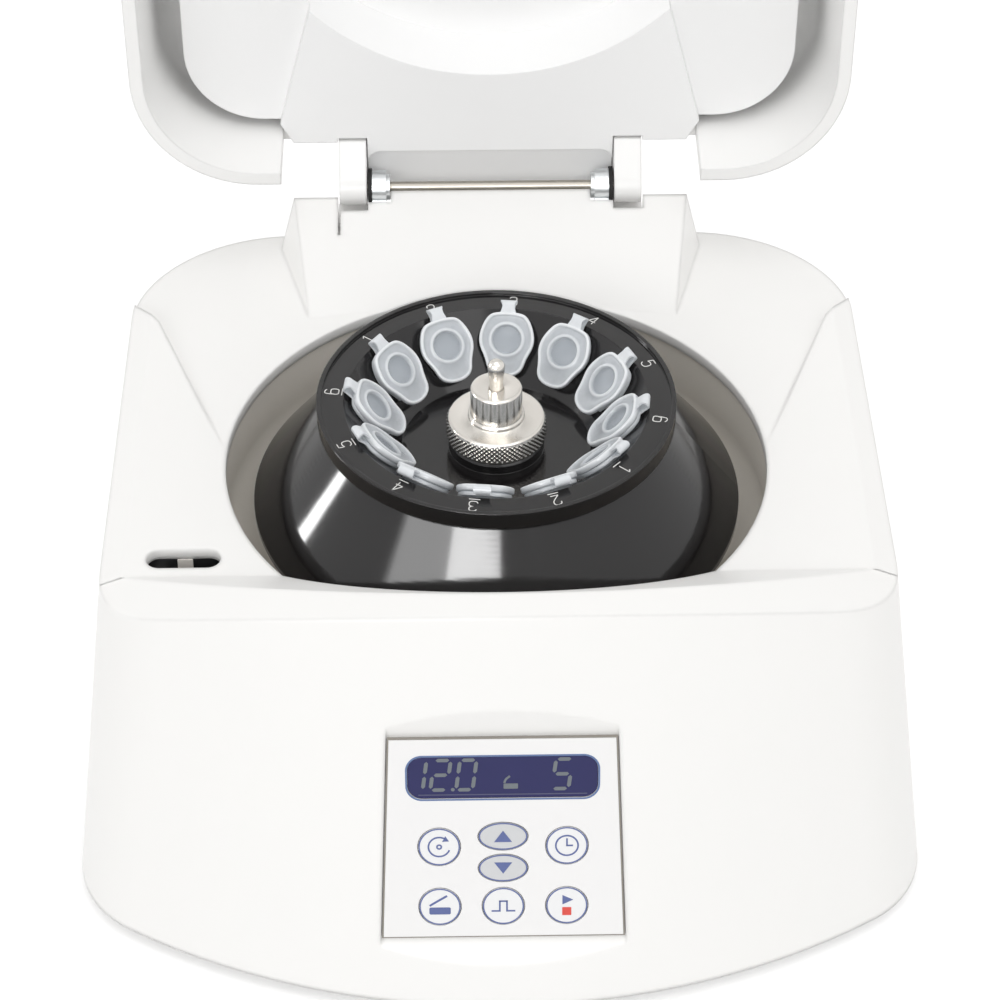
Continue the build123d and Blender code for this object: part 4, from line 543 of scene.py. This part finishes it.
def softened(path, times=3, closed=False):
    """Corner cutting: each side gives its points at a quarter and three quarters."""
    path = np.asarray(path, float)
    for _ in range(times):
        after = np.roll(path, -1, 0) if closed else path[1:]
        before = path if closed else path[:-1]
        cut = np.stack([0.75 * before + 0.25 * after, 0.25 * before + 0.75 * after], 1)
        cut = cut.reshape(-1, path.shape[1])
        path = cut if closed else np.concatenate([path[:1], cut, path[-1:]])
    return path


def plate(form, face, outline, low, high):
    """Flat plate: the outline at two heights, closed by fans."""
    form.grid([face.at(outline, low), face.at(outline, high)])


def ring(form, face, outer, inner, low, high):
    """Flat ring between two outlines of equally many points, closed all round."""
    corner_rows = ((outer, low), (outer, high), (inner, high), (inner, low))
    form.grid([face.at(flat, level) for flat, level in corner_rows], loop_rows=True)


def stroke(form, face, path, width, low, high):
    """Printed line: a flat section carried along a path, square to its direction."""
    path = np.asarray(path, float)
    run = np.gradient(path, axis=0)
    run /= np.linalg.norm(run, axis=1, keepdims=True)
    side = np.stack([-run[:, 1], run[:, 0]], -1) * width / 2
    section = [face.at(path - side, low), face.at(path + side, low),
               face.at(path + side, high), face.at(path - side, high)]
    form.grid(np.stack(section, 1))


def arc(centre, radius, start, end, count=28):
    """Points of a circle's arc from one angle to another, in degrees."""
    angle = np.radians(np.linspace(start, end, count))
    return np.asarray(centre) + radius * np.stack([np.cos(angle), np.sin(angle)], -1)


# Panel: a place on the overlay's outer face, and the prints on it and on the keys

key_joint = next(joint for joint in frame["joints"] if joint["name"] == "key_time_press")
key_axis = np.array(key_joint["axis"], float)
panel_normal = -key_axis / np.linalg.norm(key_axis)
panel_up = np.array([0.0, -panel_normal[2] * np.sign(panel_normal[1]), abs(panel_normal[1])])


def face_of(node):
    """Place at the middle of a node's outer face along the panel's normal."""
    points = node_points(node)
    out = (points @ panel_normal).max()
    near = points[points @ panel_normal > out - FACE_SLACK]
    level = near @ panel_up
    middle = ((near[:, 0].min() + near[:, 0].max()) / 2, (level.min() + level.max()) / 2)
    origin = middle[0] * np.array([1.0, 0, 0]) + middle[1] * panel_up + out * panel_normal
    size = (np.ptp(near[:, 0]), np.ptp(level))
    return Face(origin, (1.0, 0.0, 0.0), panel_up), size


def key_ring(form, face, size):
    """Thin printed border at a key's edge."""
    outer = oval(size[0] - 0.02, size[1] - 0.02)
    inner = oval(size[0] - 2 * RING_WIDTH, size[1] - 2 * RING_WIDTH)
    ring(form, face, outer, inner, LOW, HIGH)


def triangle(form, face, down):
    """Printed arrow: a triangle pointing up or down the panel."""
    tip = (-0.5 if down else 0.5) * ARROW_HEIGHT
    points = np.array([(-ARROW_HALF_WIDTH, -tip), (ARROW_HALF_WIDTH, -tip), (0.0, tip)])
    plate(form, face, points, LOW, HIGH)


def speed_sign(form, face):
    """Rotor seen from above: a circle with a turning arrow round it."""
    stroke(form, face, arc((0, 0), 2.7, 60, 340), SIGN_LINE, LOW, HIGH)
    tip = arc((0, 0), 2.7, 52, 52, 1)[0]
    head = np.array([(0.0, 1.0), (-0.8, -0.55), (0.9, -0.45)])
    plate(form, face.moved(tip[0] - 0.1, tip[1] - 0.1), head, LOW, HIGH)
    ring(form, face, oval(1.5, 1.5, 32), oval(0.7, 0.7, 32), LOW, HIGH)


def time_sign(form, face):
    """Clock: a circle and two hands."""
    ring(form, face, oval(6.0, 6.0), oval(5.15, 5.15), LOW, HIGH)
    stroke(form, face, [(0, -0.2), (0, 1.0), (0, 2.0)], SIGN_LINE, LOW, HIGH)
    stroke(form, face, [(-0.2, 0), (0.7, 0), (1.5, 0)], SIGN_LINE, LOW, HIGH)


def lid_sign(form, face):
    """Open box: a base with its lid tipped up."""
    plate(form, face.moved(0, -1.2), soft_rectangle(5.4, 2.0, 0.4, 5), LOW, HIGH)
    stroke(form, face, [(-2.6, 0.3), (-0.6, 1.6), (1.8, 3.1)], BOLD_LINE, LOW, HIGH)


def pulse_sign(form, face):
    """One square pulse on a base line."""
    runs = (
        [(-3.0, -1.4), (-1.1, -1.4)], [(-0.9, -1.6), (-0.9, 1.6)], [(-1.1, 1.4), (1.1, 1.4)],
        [(0.9, 1.6), (0.9, -1.6)], [(1.1, -1.4), (3.0, -1.4)])
    for run in runs:
        stroke(form, face, run, SIGN_LINE, LOW, HIGH)


def start_sign(form, face):
    """Start triangle."""
    points = np.array([(-1.2, -1.35), (1.5, 0.0), (-1.2, 1.35)])
    plate(form, face.moved(0.1, 1.6), points, LOW, HIGH)


def stop_sign(form, face):
    """Stop square."""
    plate(form, face.moved(0, -1.7), soft_rectangle(2.3, 2.3, 0.15, 4), LOW, HIGH)


KEY_SIGNS = {"key_speed": speed_sign, "key_time": time_sign, "key_lid": lid_sign,
             "key_pulse": pulse_sign, "key_start": start_sign}

for node in (*KEY_SIGNS, "key_up", "key_down"):
    face, size = face_of(node)
    form = Form()
    key_ring(form, face, size)
    if node in KEY_SIGNS:
        KEY_SIGNS[node](form, face)
    else:
        triangle(form, face, node == "key_down")
    form.piece(f"{node}_print", ink_blue, f"{node}_cap")
    if node == "key_start":
        red = Form()
        stop_sign(red, face)
        red.piece("key_stop_print", ink_red, f"{node}_cap")

display, display_size = face_of("display_window")
overlay, _ = face_of("keypad_membrane")


def overlay_outline(margin):
    """Corners of the overlay's outer face, drawn out by a margin, wider at the bottom."""
    away = node_points("keypad_membrane") - overlay.origin
    x, y = away @ overlay.across, away @ overlay.up
    foot, head = y < y.min() + EDGE_SLACK, y > y.max() - EDGE_SLACK
    low, high = y.min() - margin, y.max() + margin
    return np.array([
        (x[foot].min() - margin, low), (x[foot].max() + margin, low),
        (x[head].max() + margin, high), (x[head].min() - margin, high)])


# Painted shade: a dark brown ring in the seam between the overlay and its pocket, a little below
# the overlay's face, standing in for the shade in that gap
seam = Form()
ring(seam, overlay, overlay_outline(SEAM_OUTER), overlay_outline(SEAM_INNER), SEAM_LOW, SEAM_HIGH)
seam.piece("overlay_seam_shade", seam_shade_brown, "base")

# Border round the display, printed on the overlay
border = Form()
lift = float((overlay.origin - display.origin) @ panel_normal)
outer, inner = (
    soft_rectangle(display_size[0] + margin, display_size[1] + margin, corner)
    for margin, corner in zip((BORDER_OUTER, BORDER_INNER), BORDER_CORNERS))
ring(border, display, outer, inner, lift + LOW, lift + HIGH)
border.piece("display_border_print", ink_pale_blue, "base")


def seven_segments(form, face, bars):
    """Digit of bars: each bar is a six-cornered plate, slanted with the digit."""
    half, width, bar = DIGIT_HEIGHT / 2, DIGIT_HEIGHT / 2, DIGIT_HEIGHT * DIGIT_BAR
    places = {
        "a": (0, half, 0), "d": (0, -half, 0), "g": (0, 0, 0),
        "b": (width / 2, half / 2, 1), "c": (width / 2, -half / 2, 1),
        "f": (-width / 2, half / 2, 1), "e": (-width / 2, -half / 2, 1),
    }
    for name in bars:
        x, y, upright = places[name]
        run = (half if upright else width) - bar * 0.75
        long, short = run / 2, bar / 2
        outline = np.array([(-long, 0), (-long + short, short), (long - short, short),
                            (long, 0), (long - short, -short), (-long + short, -short)])
        if upright:
            outline = outline[:, ::-1]
        outline = outline + (x, y)
        outline[:, 0] += DIGIT_LEAN * outline[:, 1]
        plate(form, face, outline, LOW, HIGH)


SEGMENTS = {"1": "bc", "2": "abged", "0": "abcdef", "5": "afgcd"}
lit = Form()
for digit, x in DIGITS:
    seven_segments(lit, display.moved(x, DIGIT_RISE), SEGMENTS[digit])
# The decimal point, then the small open box between the two values
plate(lit, display.moved(-12.4, -3.3), oval(0.95, 0.95, 20), LOW, HIGH)
plate(lit, display.moved(2.0, -2.5), soft_rectangle(3.6, 1.45, 0.2, 4), LOW, HIGH)
stroke(lit, display, softened([(0.4, -1.6), (0.7, -0.6), (1.8, 0.3)], 2), BOLD_LINE, LOW, HIGH)
lit.piece("display_segments", segment_grey, "base")

# Painted reflection of the bezel: a faint lighter line along the display's lower edge, under the
# digits
bezel_reflection = Form()
stroke(bezel_reflection, display, [(-21.0, -4.75), (0.0, -4.75), (21.0, -4.75)], BEZEL_REFLECTION_WIDTH, LOW, HIGH)
bezel_reflection.piece("display_bezel_reflection", bezel_reflection_grey, "base")


# Rotor numerals: strokes within a box one high and 0.6 wide, upright as seen from
# the rotor's axis, and underlined from the seventh seat on

NUMERAL_RUNS = {
    1: [[(0.12, 0.8), (0.34, 1.0)], [(0.34, 1.0), (0.34, 0.0)]],
    2: [[(0.02, 0.72), (0.05, 1.0), (0.55, 1.06), (0.62, 0.7), (0.45, 0.45), (0.02, 0.02)],
        [(0.0, 0.0), (0.6, 0.0)]],
    3: [[(0.03, 0.85), (0.12, 1.02), (0.55, 1.04), (0.6, 0.6), (0.3, 0.53)],
        [(0.3, 0.53), (0.62, 0.5), (0.65, -0.02), (0.12, -0.04), (0.0, 0.16)]],
    4: [[(0.44, 0.0), (0.44, 1.0)], [(0.44, 1.0), (0.0, 0.3)], [(0.0, 0.3), (0.6, 0.3)]],
    5: [[(0.55, 1.0), (0.1, 1.0)], [(0.1, 1.0), (0.05, 0.56)],
        [(0.05, 0.56), (0.3, 0.68), (0.62, 0.6), (0.62, 0.0), (0.15, -0.05), (0.0, 0.14)]],
    6: [[(0.52, 0.9), (0.4, 1.04), (0.06, 1.06), (0.0, 0.5), (-0.02, 0.0), (0.3, -0.02),
         (0.62, 0.0), (0.62, 0.58), (0.3, 0.6), (0.08, 0.58), (0.02, 0.35)]],
}
NUMERAL_ANGLES = (
    (1, 141.8, False), (2, 113.0, False), (3, 83.0, False), (4, 51.7, False), (5, 20.1, False),
    (6, -11.9, False), (1, -41.8, True), (2, -70.4, True), (3, -98.6, True), (4, -126.1, True),
    (5, -155.6, True), (6, 174.5, True),
)
NUMERAL_HEIGHT = 3.5
NUMERAL_MIDDLE = 0.3
NUMERAL_FOOT = 41.6
NUMERAL_LINE = 0.26

numerals = Form()
for value, angle, underlined in NUMERAL_ANGLES:
    out = np.array([cos(radians(angle)), sin(radians(angle)), 0.0])
    across = np.cross(out, (0, 0, 1.0))
    spot = np.array([AXIS[0], AXIS[1], DECK + RIM_TOP_RISE]) + out * NUMERAL_FOOT
    face = Face(spot - across * NUMERAL_MIDDLE * NUMERAL_HEIGHT, across, out)
    for run in NUMERAL_RUNS[value]:
        path = np.array(run) * NUMERAL_HEIGHT
        path = softened(path) if len(run) > 2 else path
        stroke(numerals, face, path, NUMERAL_LINE, LOW, HIGH)
    if underlined:
        line = np.array([(-0.1, -0.26), (0.72, -0.26)]) * NUMERAL_HEIGHT
        stroke(numerals, face, line, NUMERAL_LINE, LOW, HIGH)
numerals.piece("rotor_numerals", ink_white, "rotor")


# Clamp knob: a knurled disc, a barrel with a lip at its foot, and a flat top

def knurled_knob():
    """Radius on a grid of angle and level: inside the knurled band it is the disc's
    radius less a groove depth, plus the lower of two triangle waves that run up to the
    left and up to the right; elsewhere it is the turned profile."""
    count = KNURL_DIAMONDS * KNURL_POINTS
    angle = np.arange(count) / count * TURN
    foot = BOSS_RISE + 0.02
    top = foot + KNOB_DISC
    levels = np.arange(foot + 0.75, top - 0.75, KNURL_PITCH / KNURL_POINTS)
    around = angle / TURN * KNURL_DIAMONDS
    along = (levels / KNURL_PITCH)[:, None]
    waves = [1 - np.abs(2 * ((around + sense * along) % 1.0) - 1) for sense in (1, -1)]
    band = KNOB_RADIUS - KNURL_DEPTH + KNURL_DEPTH * np.minimum(*waves)
    body = [
        (4.15, foot), (KNOB_RADIUS - 1.0, foot), (KNOB_RADIUS - 0.55, foot + 0.25),
        (KNOB_RADIUS - 0.5, foot + 0.6),
    ]
    head = [
        (KNOB_RADIUS - 0.5, top - 0.6), (KNOB_RADIUS - 0.55, top - 0.3), (KNOB_RADIUS - 0.95, top),
        (KNOB_RADIUS - 1.3, top), (BARREL_RADIUS + 0.75, top), (BARREL_RADIUS + 0.6, top + 0.12),
        (BARREL_RADIUS + 0.6, top + 0.9), (BARREL_RADIUS + 0.4, top + 1.1),
        (BARREL_RADIUS + 0.05, top + 1.15), (BARREL_RADIUS, top + 1.3),
        (BARREL_RADIUS, BARREL_TOP_RISE - 0.55), (BARREL_RADIUS - 0.15, BARREL_TOP_RISE - 0.2),
        (BARREL_RADIUS - 0.5, BARREL_TOP_RISE), (BARREL_RADIUS - 1.2, BARREL_TOP_RISE),
        (PIN_RADIUS + 0.5, BARREL_TOP_RISE), (PIN_RADIUS + 0.02, BARREL_TOP_RISE - 0.3),
        (PIN_RADIUS + 0.02, BARREL_TOP_RISE - 4.0), (4.0, BARREL_TOP_RISE - 5.0),
        (4.15, BARREL_TOP_RISE - 11.0),
    ]
    rows = [np.full(count, radius) for radius, _ in body] + list(band)
    rows += [np.full(count, radius) for radius, _ in head]
    heights = [level for _, level in body] + list(levels) + [level for _, level in head]
    radius = np.array(rows)
    level = np.array(heights)[:, None] * np.ones(count)
    points = np.stack([radius * np.cos(angle), radius * np.sin(angle), level], -1)
    form = Form()
    form.grid(points + (AXIS[0], AXIS[1], DECK), loop_rows=True)
    form.piece("knurled_knob", nickel, "clamp_knob", ("rotor_knob",), 42.0)


knurled_knob()


# Sample tubes: barrel, flange, hinge strap folded over, and the closed cap

CAP_CORNERS = [
    (7.5, -2.4), (7.5, 2.4), (6.6, 5.4), (2.2, 7.4), (-1.6, 7.5), (-5.2, 5.6), (-8.6, 4.6),
    (-10.2, 2.0), (-10.2, -2.0), (-8.6, -4.6), (-5.2, -5.6), (-1.6, -7.5), (2.2, -7.4), (6.6, -5.4),
]
CAP_OUTLINE = softened(CAP_CORNERS, closed=True)


def inset_outline(outline, inset):
    """Outline drawn in by a distance, each point along the normal of its neighbours."""
    run = np.roll(outline, -1, 0) - np.roll(outline, 1, 0)
    run /= np.linalg.norm(run, axis=1, keepdims=True)
    inward = np.stack([-run[:, 1], run[:, 0]], -1)
    return outline + inset * inward


def tube_cap(form, face):
    """Cap: stations from the underside over the rim to the dimple. A station is the
    outline drawn in by an inset, or a circle in the same directions, at a height. Its
    last value is how milky the cap is there, from clear at 0 to solid at 1."""
    heading = CAP_OUTLINE / np.linalg.norm(CAP_OUTLINE, axis=1, keepdims=True)
    base = TUBE_SEAT + FLANGE_THICK
    top = base + CAP_THICK
    stations = [
        ("circle", 3.0, base + 0.02, 0.2), ("circle", 5.0, base + 0.02, 0.2),
        ("inset", 0.35, base + 0.02, 0.5), ("inset", 0.02, base + 0.35, 0.78),
        ("inset", 0.0, top - 0.4, 0.84), ("inset", 0.12, top - 0.12, 0.92),
        ("inset", 0.4, top, 0.94), ("inset", 0.75, top - 0.05, 0.84),
        ("inset", 1.0, top - 0.4, 0.6), ("inset", 1.35, top - 0.5, 0.57),
        ("circle", 5.05, top - 0.5, 0.55), ("circle", 4.75, top - 0.22, 0.74),
        ("circle", 4.4, top - 0.12, 0.84), ("circle", 4.1, top - 0.2, 0.72),
        ("circle", 3.85, top - 0.75, 0.48), ("circle", 3.5, top - 0.95, 0.24),
        ("circle", 0.5, top - 1.0, 0.17),
    ]
    rows, marks = [], []
    for kind, value, level, mark in stations:
        flat = heading * value if kind == "circle" else inset_outline(CAP_OUTLINE, value)
        rows.append(face.at(flat, level))
        marks.append(mark)
    form.grid(rows, mark=marks)


def tube_slab(form, face):
    """Flange under the cap: the cap's outline drawn in a little and cut off on the inner
    side, at stations from its underside to its top."""
    foot, head = TUBE_SEAT + 0.1, TUBE_SEAT + FLANGE_THICK - 0.02
    stations = (
        (1.0, foot), (0.6, foot + 0.12), (0.5, foot + 0.4), (0.5, head - 0.3), (0.8, head))
    inner_side = -7.2
    rows = []
    for inset, level in stations:
        flat = inset_outline(CAP_OUTLINE, inset)
        flat[:, 0] = np.maximum(flat[:, 0], inner_side + inset)
        rows.append(face.at(flat, level))
    form.grid(rows, mark=(0.3, 0.6, 0.72, 0.72, 0.4))


def tube_strap(form, face):
    """Folded hinge strap: a flat section carried along a loop from flange to cap, wide
    at its two ends and at the fold, narrow between them."""
    path = softened([(5.4, -0.75), (7.6, -0.9), (9.4, -1.0), (10.5, -0.6), (10.7, 0.5), (9.9, 1.2),
                     (8.6, 1.25), (6.9, 1.15)])
    run = np.gradient(path, axis=0)
    run /= np.linalg.norm(run, axis=1, keepdims=True)
    side = np.stack([-run[:, 1], run[:, 0]], -1) * (STRAP_THICK / 2)
    share = np.linspace(0, 1, len(path))
    width = STRAP_HALF_WIDTH - STRAP_WAIST * np.sin(share * TURN) ** 2
    section = [(-1, -1), (1, -1), (1, 1), (-1, 1)]
    columns = []
    for across, thick in section:
        flat = path + side * thick
        points = np.stack([flat[:, 0], width * across], -1)
        columns.append(face.at(points, flat[:, 1]))
    form.grid(np.stack(columns, 1), mark=0.8)


def tube_barrel(form, face):
    """Barrel: a profile of radius and level carried round the tube's own axis."""
    count = 40
    angle = np.arange(count) / count * TURN
    circle = np.stack([np.cos(angle), np.sin(angle)], -1)
    profile = [
        (TUBE_BARREL - 0.3, TUBE_SEAT + 0.5, 0.5), (TUBE_BARREL, TUBE_SEAT + 0.3, 0.5),
        (TUBE_BARREL, TUBE_SEAT - 0.5, 0.4), (TUBE_BARREL, -TUBE_BARREL_LENGTH, 0.4),
        (TUBE_TIP + 0.4, -TUBE_LENGTH + 2.2, 0.4), (TUBE_TIP * 0.8, -TUBE_LENGTH + 0.7, 0.45),
        (0.6, -TUBE_LENGTH + 0.05, 0.5),
    ]
    rows = [face.at(circle * radius, level) for radius, level, _ in profile]
    form.grid(rows, mark=[mark for _, _, mark in profile])


for index in range(TUBE_COUNT):
    turn = radians(FIRST_TUBE_ANGLE + index * 360.0 / TUBE_COUNT)
    lean = radians(TUBE_TILT)
    out = np.array([cos(turn), sin(turn), 0.0])
    rise = np.array([0, 0, 1.0])
    across = out * cos(lean) + rise * sin(lean)
    origin = np.array([AXIS[0], AXIS[1], DECK + TUBE_CAP_RISE]) + out * TUBE_CAP_RADIUS
    face = Face(origin, across, np.cross(rise, out))
    form = Form()
    tube_barrel(form, face)
    tube_slab(form, face)
    tube_strap(form, face)
    tube_cap(form, face)
    name = f"tube_{index + 1:02d}"
    form.piece(f"sample_{name}", clear_tube, "rotor", (name,), 50.0)


# Metal leaf on the back wall of the latch box, seen through the slot, given a pale matt colour that
# paints in the metal's reflection

latch_low, latch_high = corners("latch_housing")
leaf_place = np.array([
    (latch_low[0] + latch_high[0]) / 2, latch_high[1] - LATCH_WALL, latch_high[2] - LEAF_DROP])
leaf = Form()
plate(leaf, Face(leaf_place, (1.0, 0.0, 0.0), (0.0, 0.0, 1.0)),
      soft_rectangle(LEAF_WIDTH, LEAF_HEIGHT, 0.2, 4), LOW, LEAF_THICK)
leaf.piece("latch_leaf", leaf_painted_shine, "base")


# Marks of the power rocker: a bar for on and a ring for off

def rocker_face(upper):
    """Place at the middle of the rocker's upper or lower half, as seen from the back."""
    polygons = frame["nodes"]["power_rocker"].data.polygons
    normals, middles, areas = (np.empty(size * len(polygons)) for size in (3, 3, 1))
    for key, values in (("normal", normals), ("center", middles), ("area", areas)):
        polygons.foreach_get(key, values)
    normals, middles = normals.reshape(-1, 3), middles.reshape(-1, 3) / MM
    outer = normals[:, 1] > 0.8
    level = np.average(middles[outer, 2], weights=areas[outer])
    half = outer & ((middles[:, 2] > level) == upper)
    normal = np.average(normals[half], axis=0, weights=areas[half])
    normal /= np.linalg.norm(normal)
    across = np.array([-1.0, 0.0, 0.0])
    origin = np.average(middles[half], axis=0, weights=areas[half])
    return Face(origin, across, np.cross(normal, across))


marks = Form()
plate(marks, rocker_face(True), soft_rectangle(0.9, 4.6, 0.3, 5), LOW, HIGH)
ring(marks, rocker_face(False), oval(4.8, 4.8), oval(3.4, 3.4), LOW, HIGH)
marks.piece("rocker_marks", ink_white, "rocker")


# Camera, light and floor

CAMERA_TILT = 39.62
CAMERA_PITCH = 40.43
CAMERA_DISTANCE = 800.0
CAMERA_SIDE = 0.9
CAMERA_TURN = 0.99
LENS = 108.07
AMBIENT = 0.74
FLOOR_REACH = 6.0
FLOOR_GLOW = 0.35
AIM_HEIGHT = 0.1

# Lamps: name, bearing and rise in degrees, distance, width and height in metres, power,
# and whether it is for shine only
LAMPS = (
    ("window_left", -119.0, 27.0, 1.9, 1.85, 0.6, 5.5, False),
    ("window_right", -50.0, 50.0, 1.9, 1.2, 1.0, 3.5, False),
    ("ceiling", -80.0, 82.0, 1.9, 1.5, 1.4, 7.0, False),
    ("window_glow", -118.0, 27.0, 1.86, 1.72, 0.56, 11.0, True),
    ("window_shine", -103.0, 28.0, 1.82, 0.78, 0.5, 14.0, True),
    ("side_shine", 167.0, 12.0, 1.5, 0.16, 0.6, 7.0, True),
)


def add_camera():
    """Camera above and ahead of the machine, a little to its left."""
    lens = bpy.data.cameras.new("camera")
    lens.lens = LENS
    lens.sensor_width = 36.0
    lens.clip_start, lens.clip_end = 0.05, 30.0
    camera = bpy.data.objects.new("camera", lens)
    bpy.context.scene.collection.objects.link(camera)
    tilt, side = radians(CAMERA_TILT), radians(CAMERA_SIDE)
    flat = CAMERA_DISTANCE * cos(tilt)
    camera.location = (
        (AXIS[0] - flat * sin(side)) * MM,
        (AXIS[1] - flat * cos(side)) * MM,
        (DECK + CAMERA_DISTANCE * sin(tilt)) * MM)
    camera.rotation_euler = (radians(90.0 - CAMERA_PITCH), 0.0, -radians(CAMERA_TURN))
    bpy.context.scene.camera = camera


def add_lamp(name, bearing, rise, distance, width, height, power, shine_only):
    """Soft lamp of that width and height that faces the middle of the machine, placed by
    its bearing and rise in degrees. One for shine only is seen in gloss and doesn't
    light the surfaces."""
    lamp = bpy.data.lights.new(name, "AREA")
    lamp.shape = "RECTANGLE"
    lamp.size = width
    lamp.size_y = height
    lamp.energy = power
    thing = bpy.data.objects.new(name, lamp)
    bpy.context.scene.collection.objects.link(thing)
    thing.visible_diffuse = not shine_only
    turn, lift = radians(bearing), radians(rise)
    thing.location = (distance * cos(lift) * cos(turn), distance * cos(lift) * sin(turn),
                      distance * sin(lift) + AIM_HEIGHT)
    thing.rotation_euler = (pi / 2 - lift, 0.0, turn + pi / 2)


def add_world():
    """Even surroundings: white to the camera, to gloss and through glass, dimmer as light."""
    world = bpy.data.worlds.new("surroundings")
    bpy.context.scene.world = world
    finish = Finish(world)
    for node in list(finish.tree.nodes):
        finish.tree.nodes.remove(node)
    light, white = (
        finish.node("ShaderNodeBackground", None, {"Color": colour, "Strength": strength})
        for colour, strength in (((1.0, 0.995, 0.985), AMBIENT), ((1.0, 1.0, 1.0), 1.0)))
    mixed = finish.node("ShaderNodeMixShader", None, {0: finish.seen(), 1: light, 2: white})
    output = finish.tree.nodes.new("ShaderNodeOutputWorld")
    finish.tree.links.new(mixed.socket, output.inputs["Surface"])


def add_floor():
    """Plain pale floor, wide enough for its edge to be out of sight, with a glow that is
    seen and lights nothing."""
    mesh = bpy.data.meshes.new("floor")
    corner_signs = ((-1, -1), (1, -1), (1, 1), (-1, 1))
    mesh.from_pydata([(x * FLOOR_REACH, y * FLOOR_REACH, 0) for x, y in corner_signs],
                     [], [(0, 1, 2, 3)])
    floor = bpy.data.objects.new("floor", mesh)
    bpy.context.scene.collection.objects.link(floor)
    paint = Paint("floor_white", (0.84, 0.84, 0.84), 0.9, specular=0.0)
    paint.set("Emission Color", (1.0, 1.0, 1.0))
    paint.set("Emission Strength", 0.0)
    plain = Signal(paint, paint.shader.outputs[0])
    glow_inputs = {"Color": (1.0, 1.0, 1.0), "Strength": FLOOR_GLOW}
    glow = paint.node("ShaderNodeEmission", None, glow_inputs)
    both = paint.node("ShaderNodeAddShader", None, {0: plain, 1: glow})
    mixed = paint.node("ShaderNodeMixShader", None, {0: paint.seen(), 1: plain, 2: both})
    paint.tree.links.new(mixed.socket, paint.tree.nodes["Material Output"].inputs["Surface"])
    mesh.materials.append(paint.material)


add_camera()
add_world()
for lamp in LAMPS:
    add_lamp(*lamp)
add_floor()
bpy.context.scene.view_settings.view_transform = "Standard"
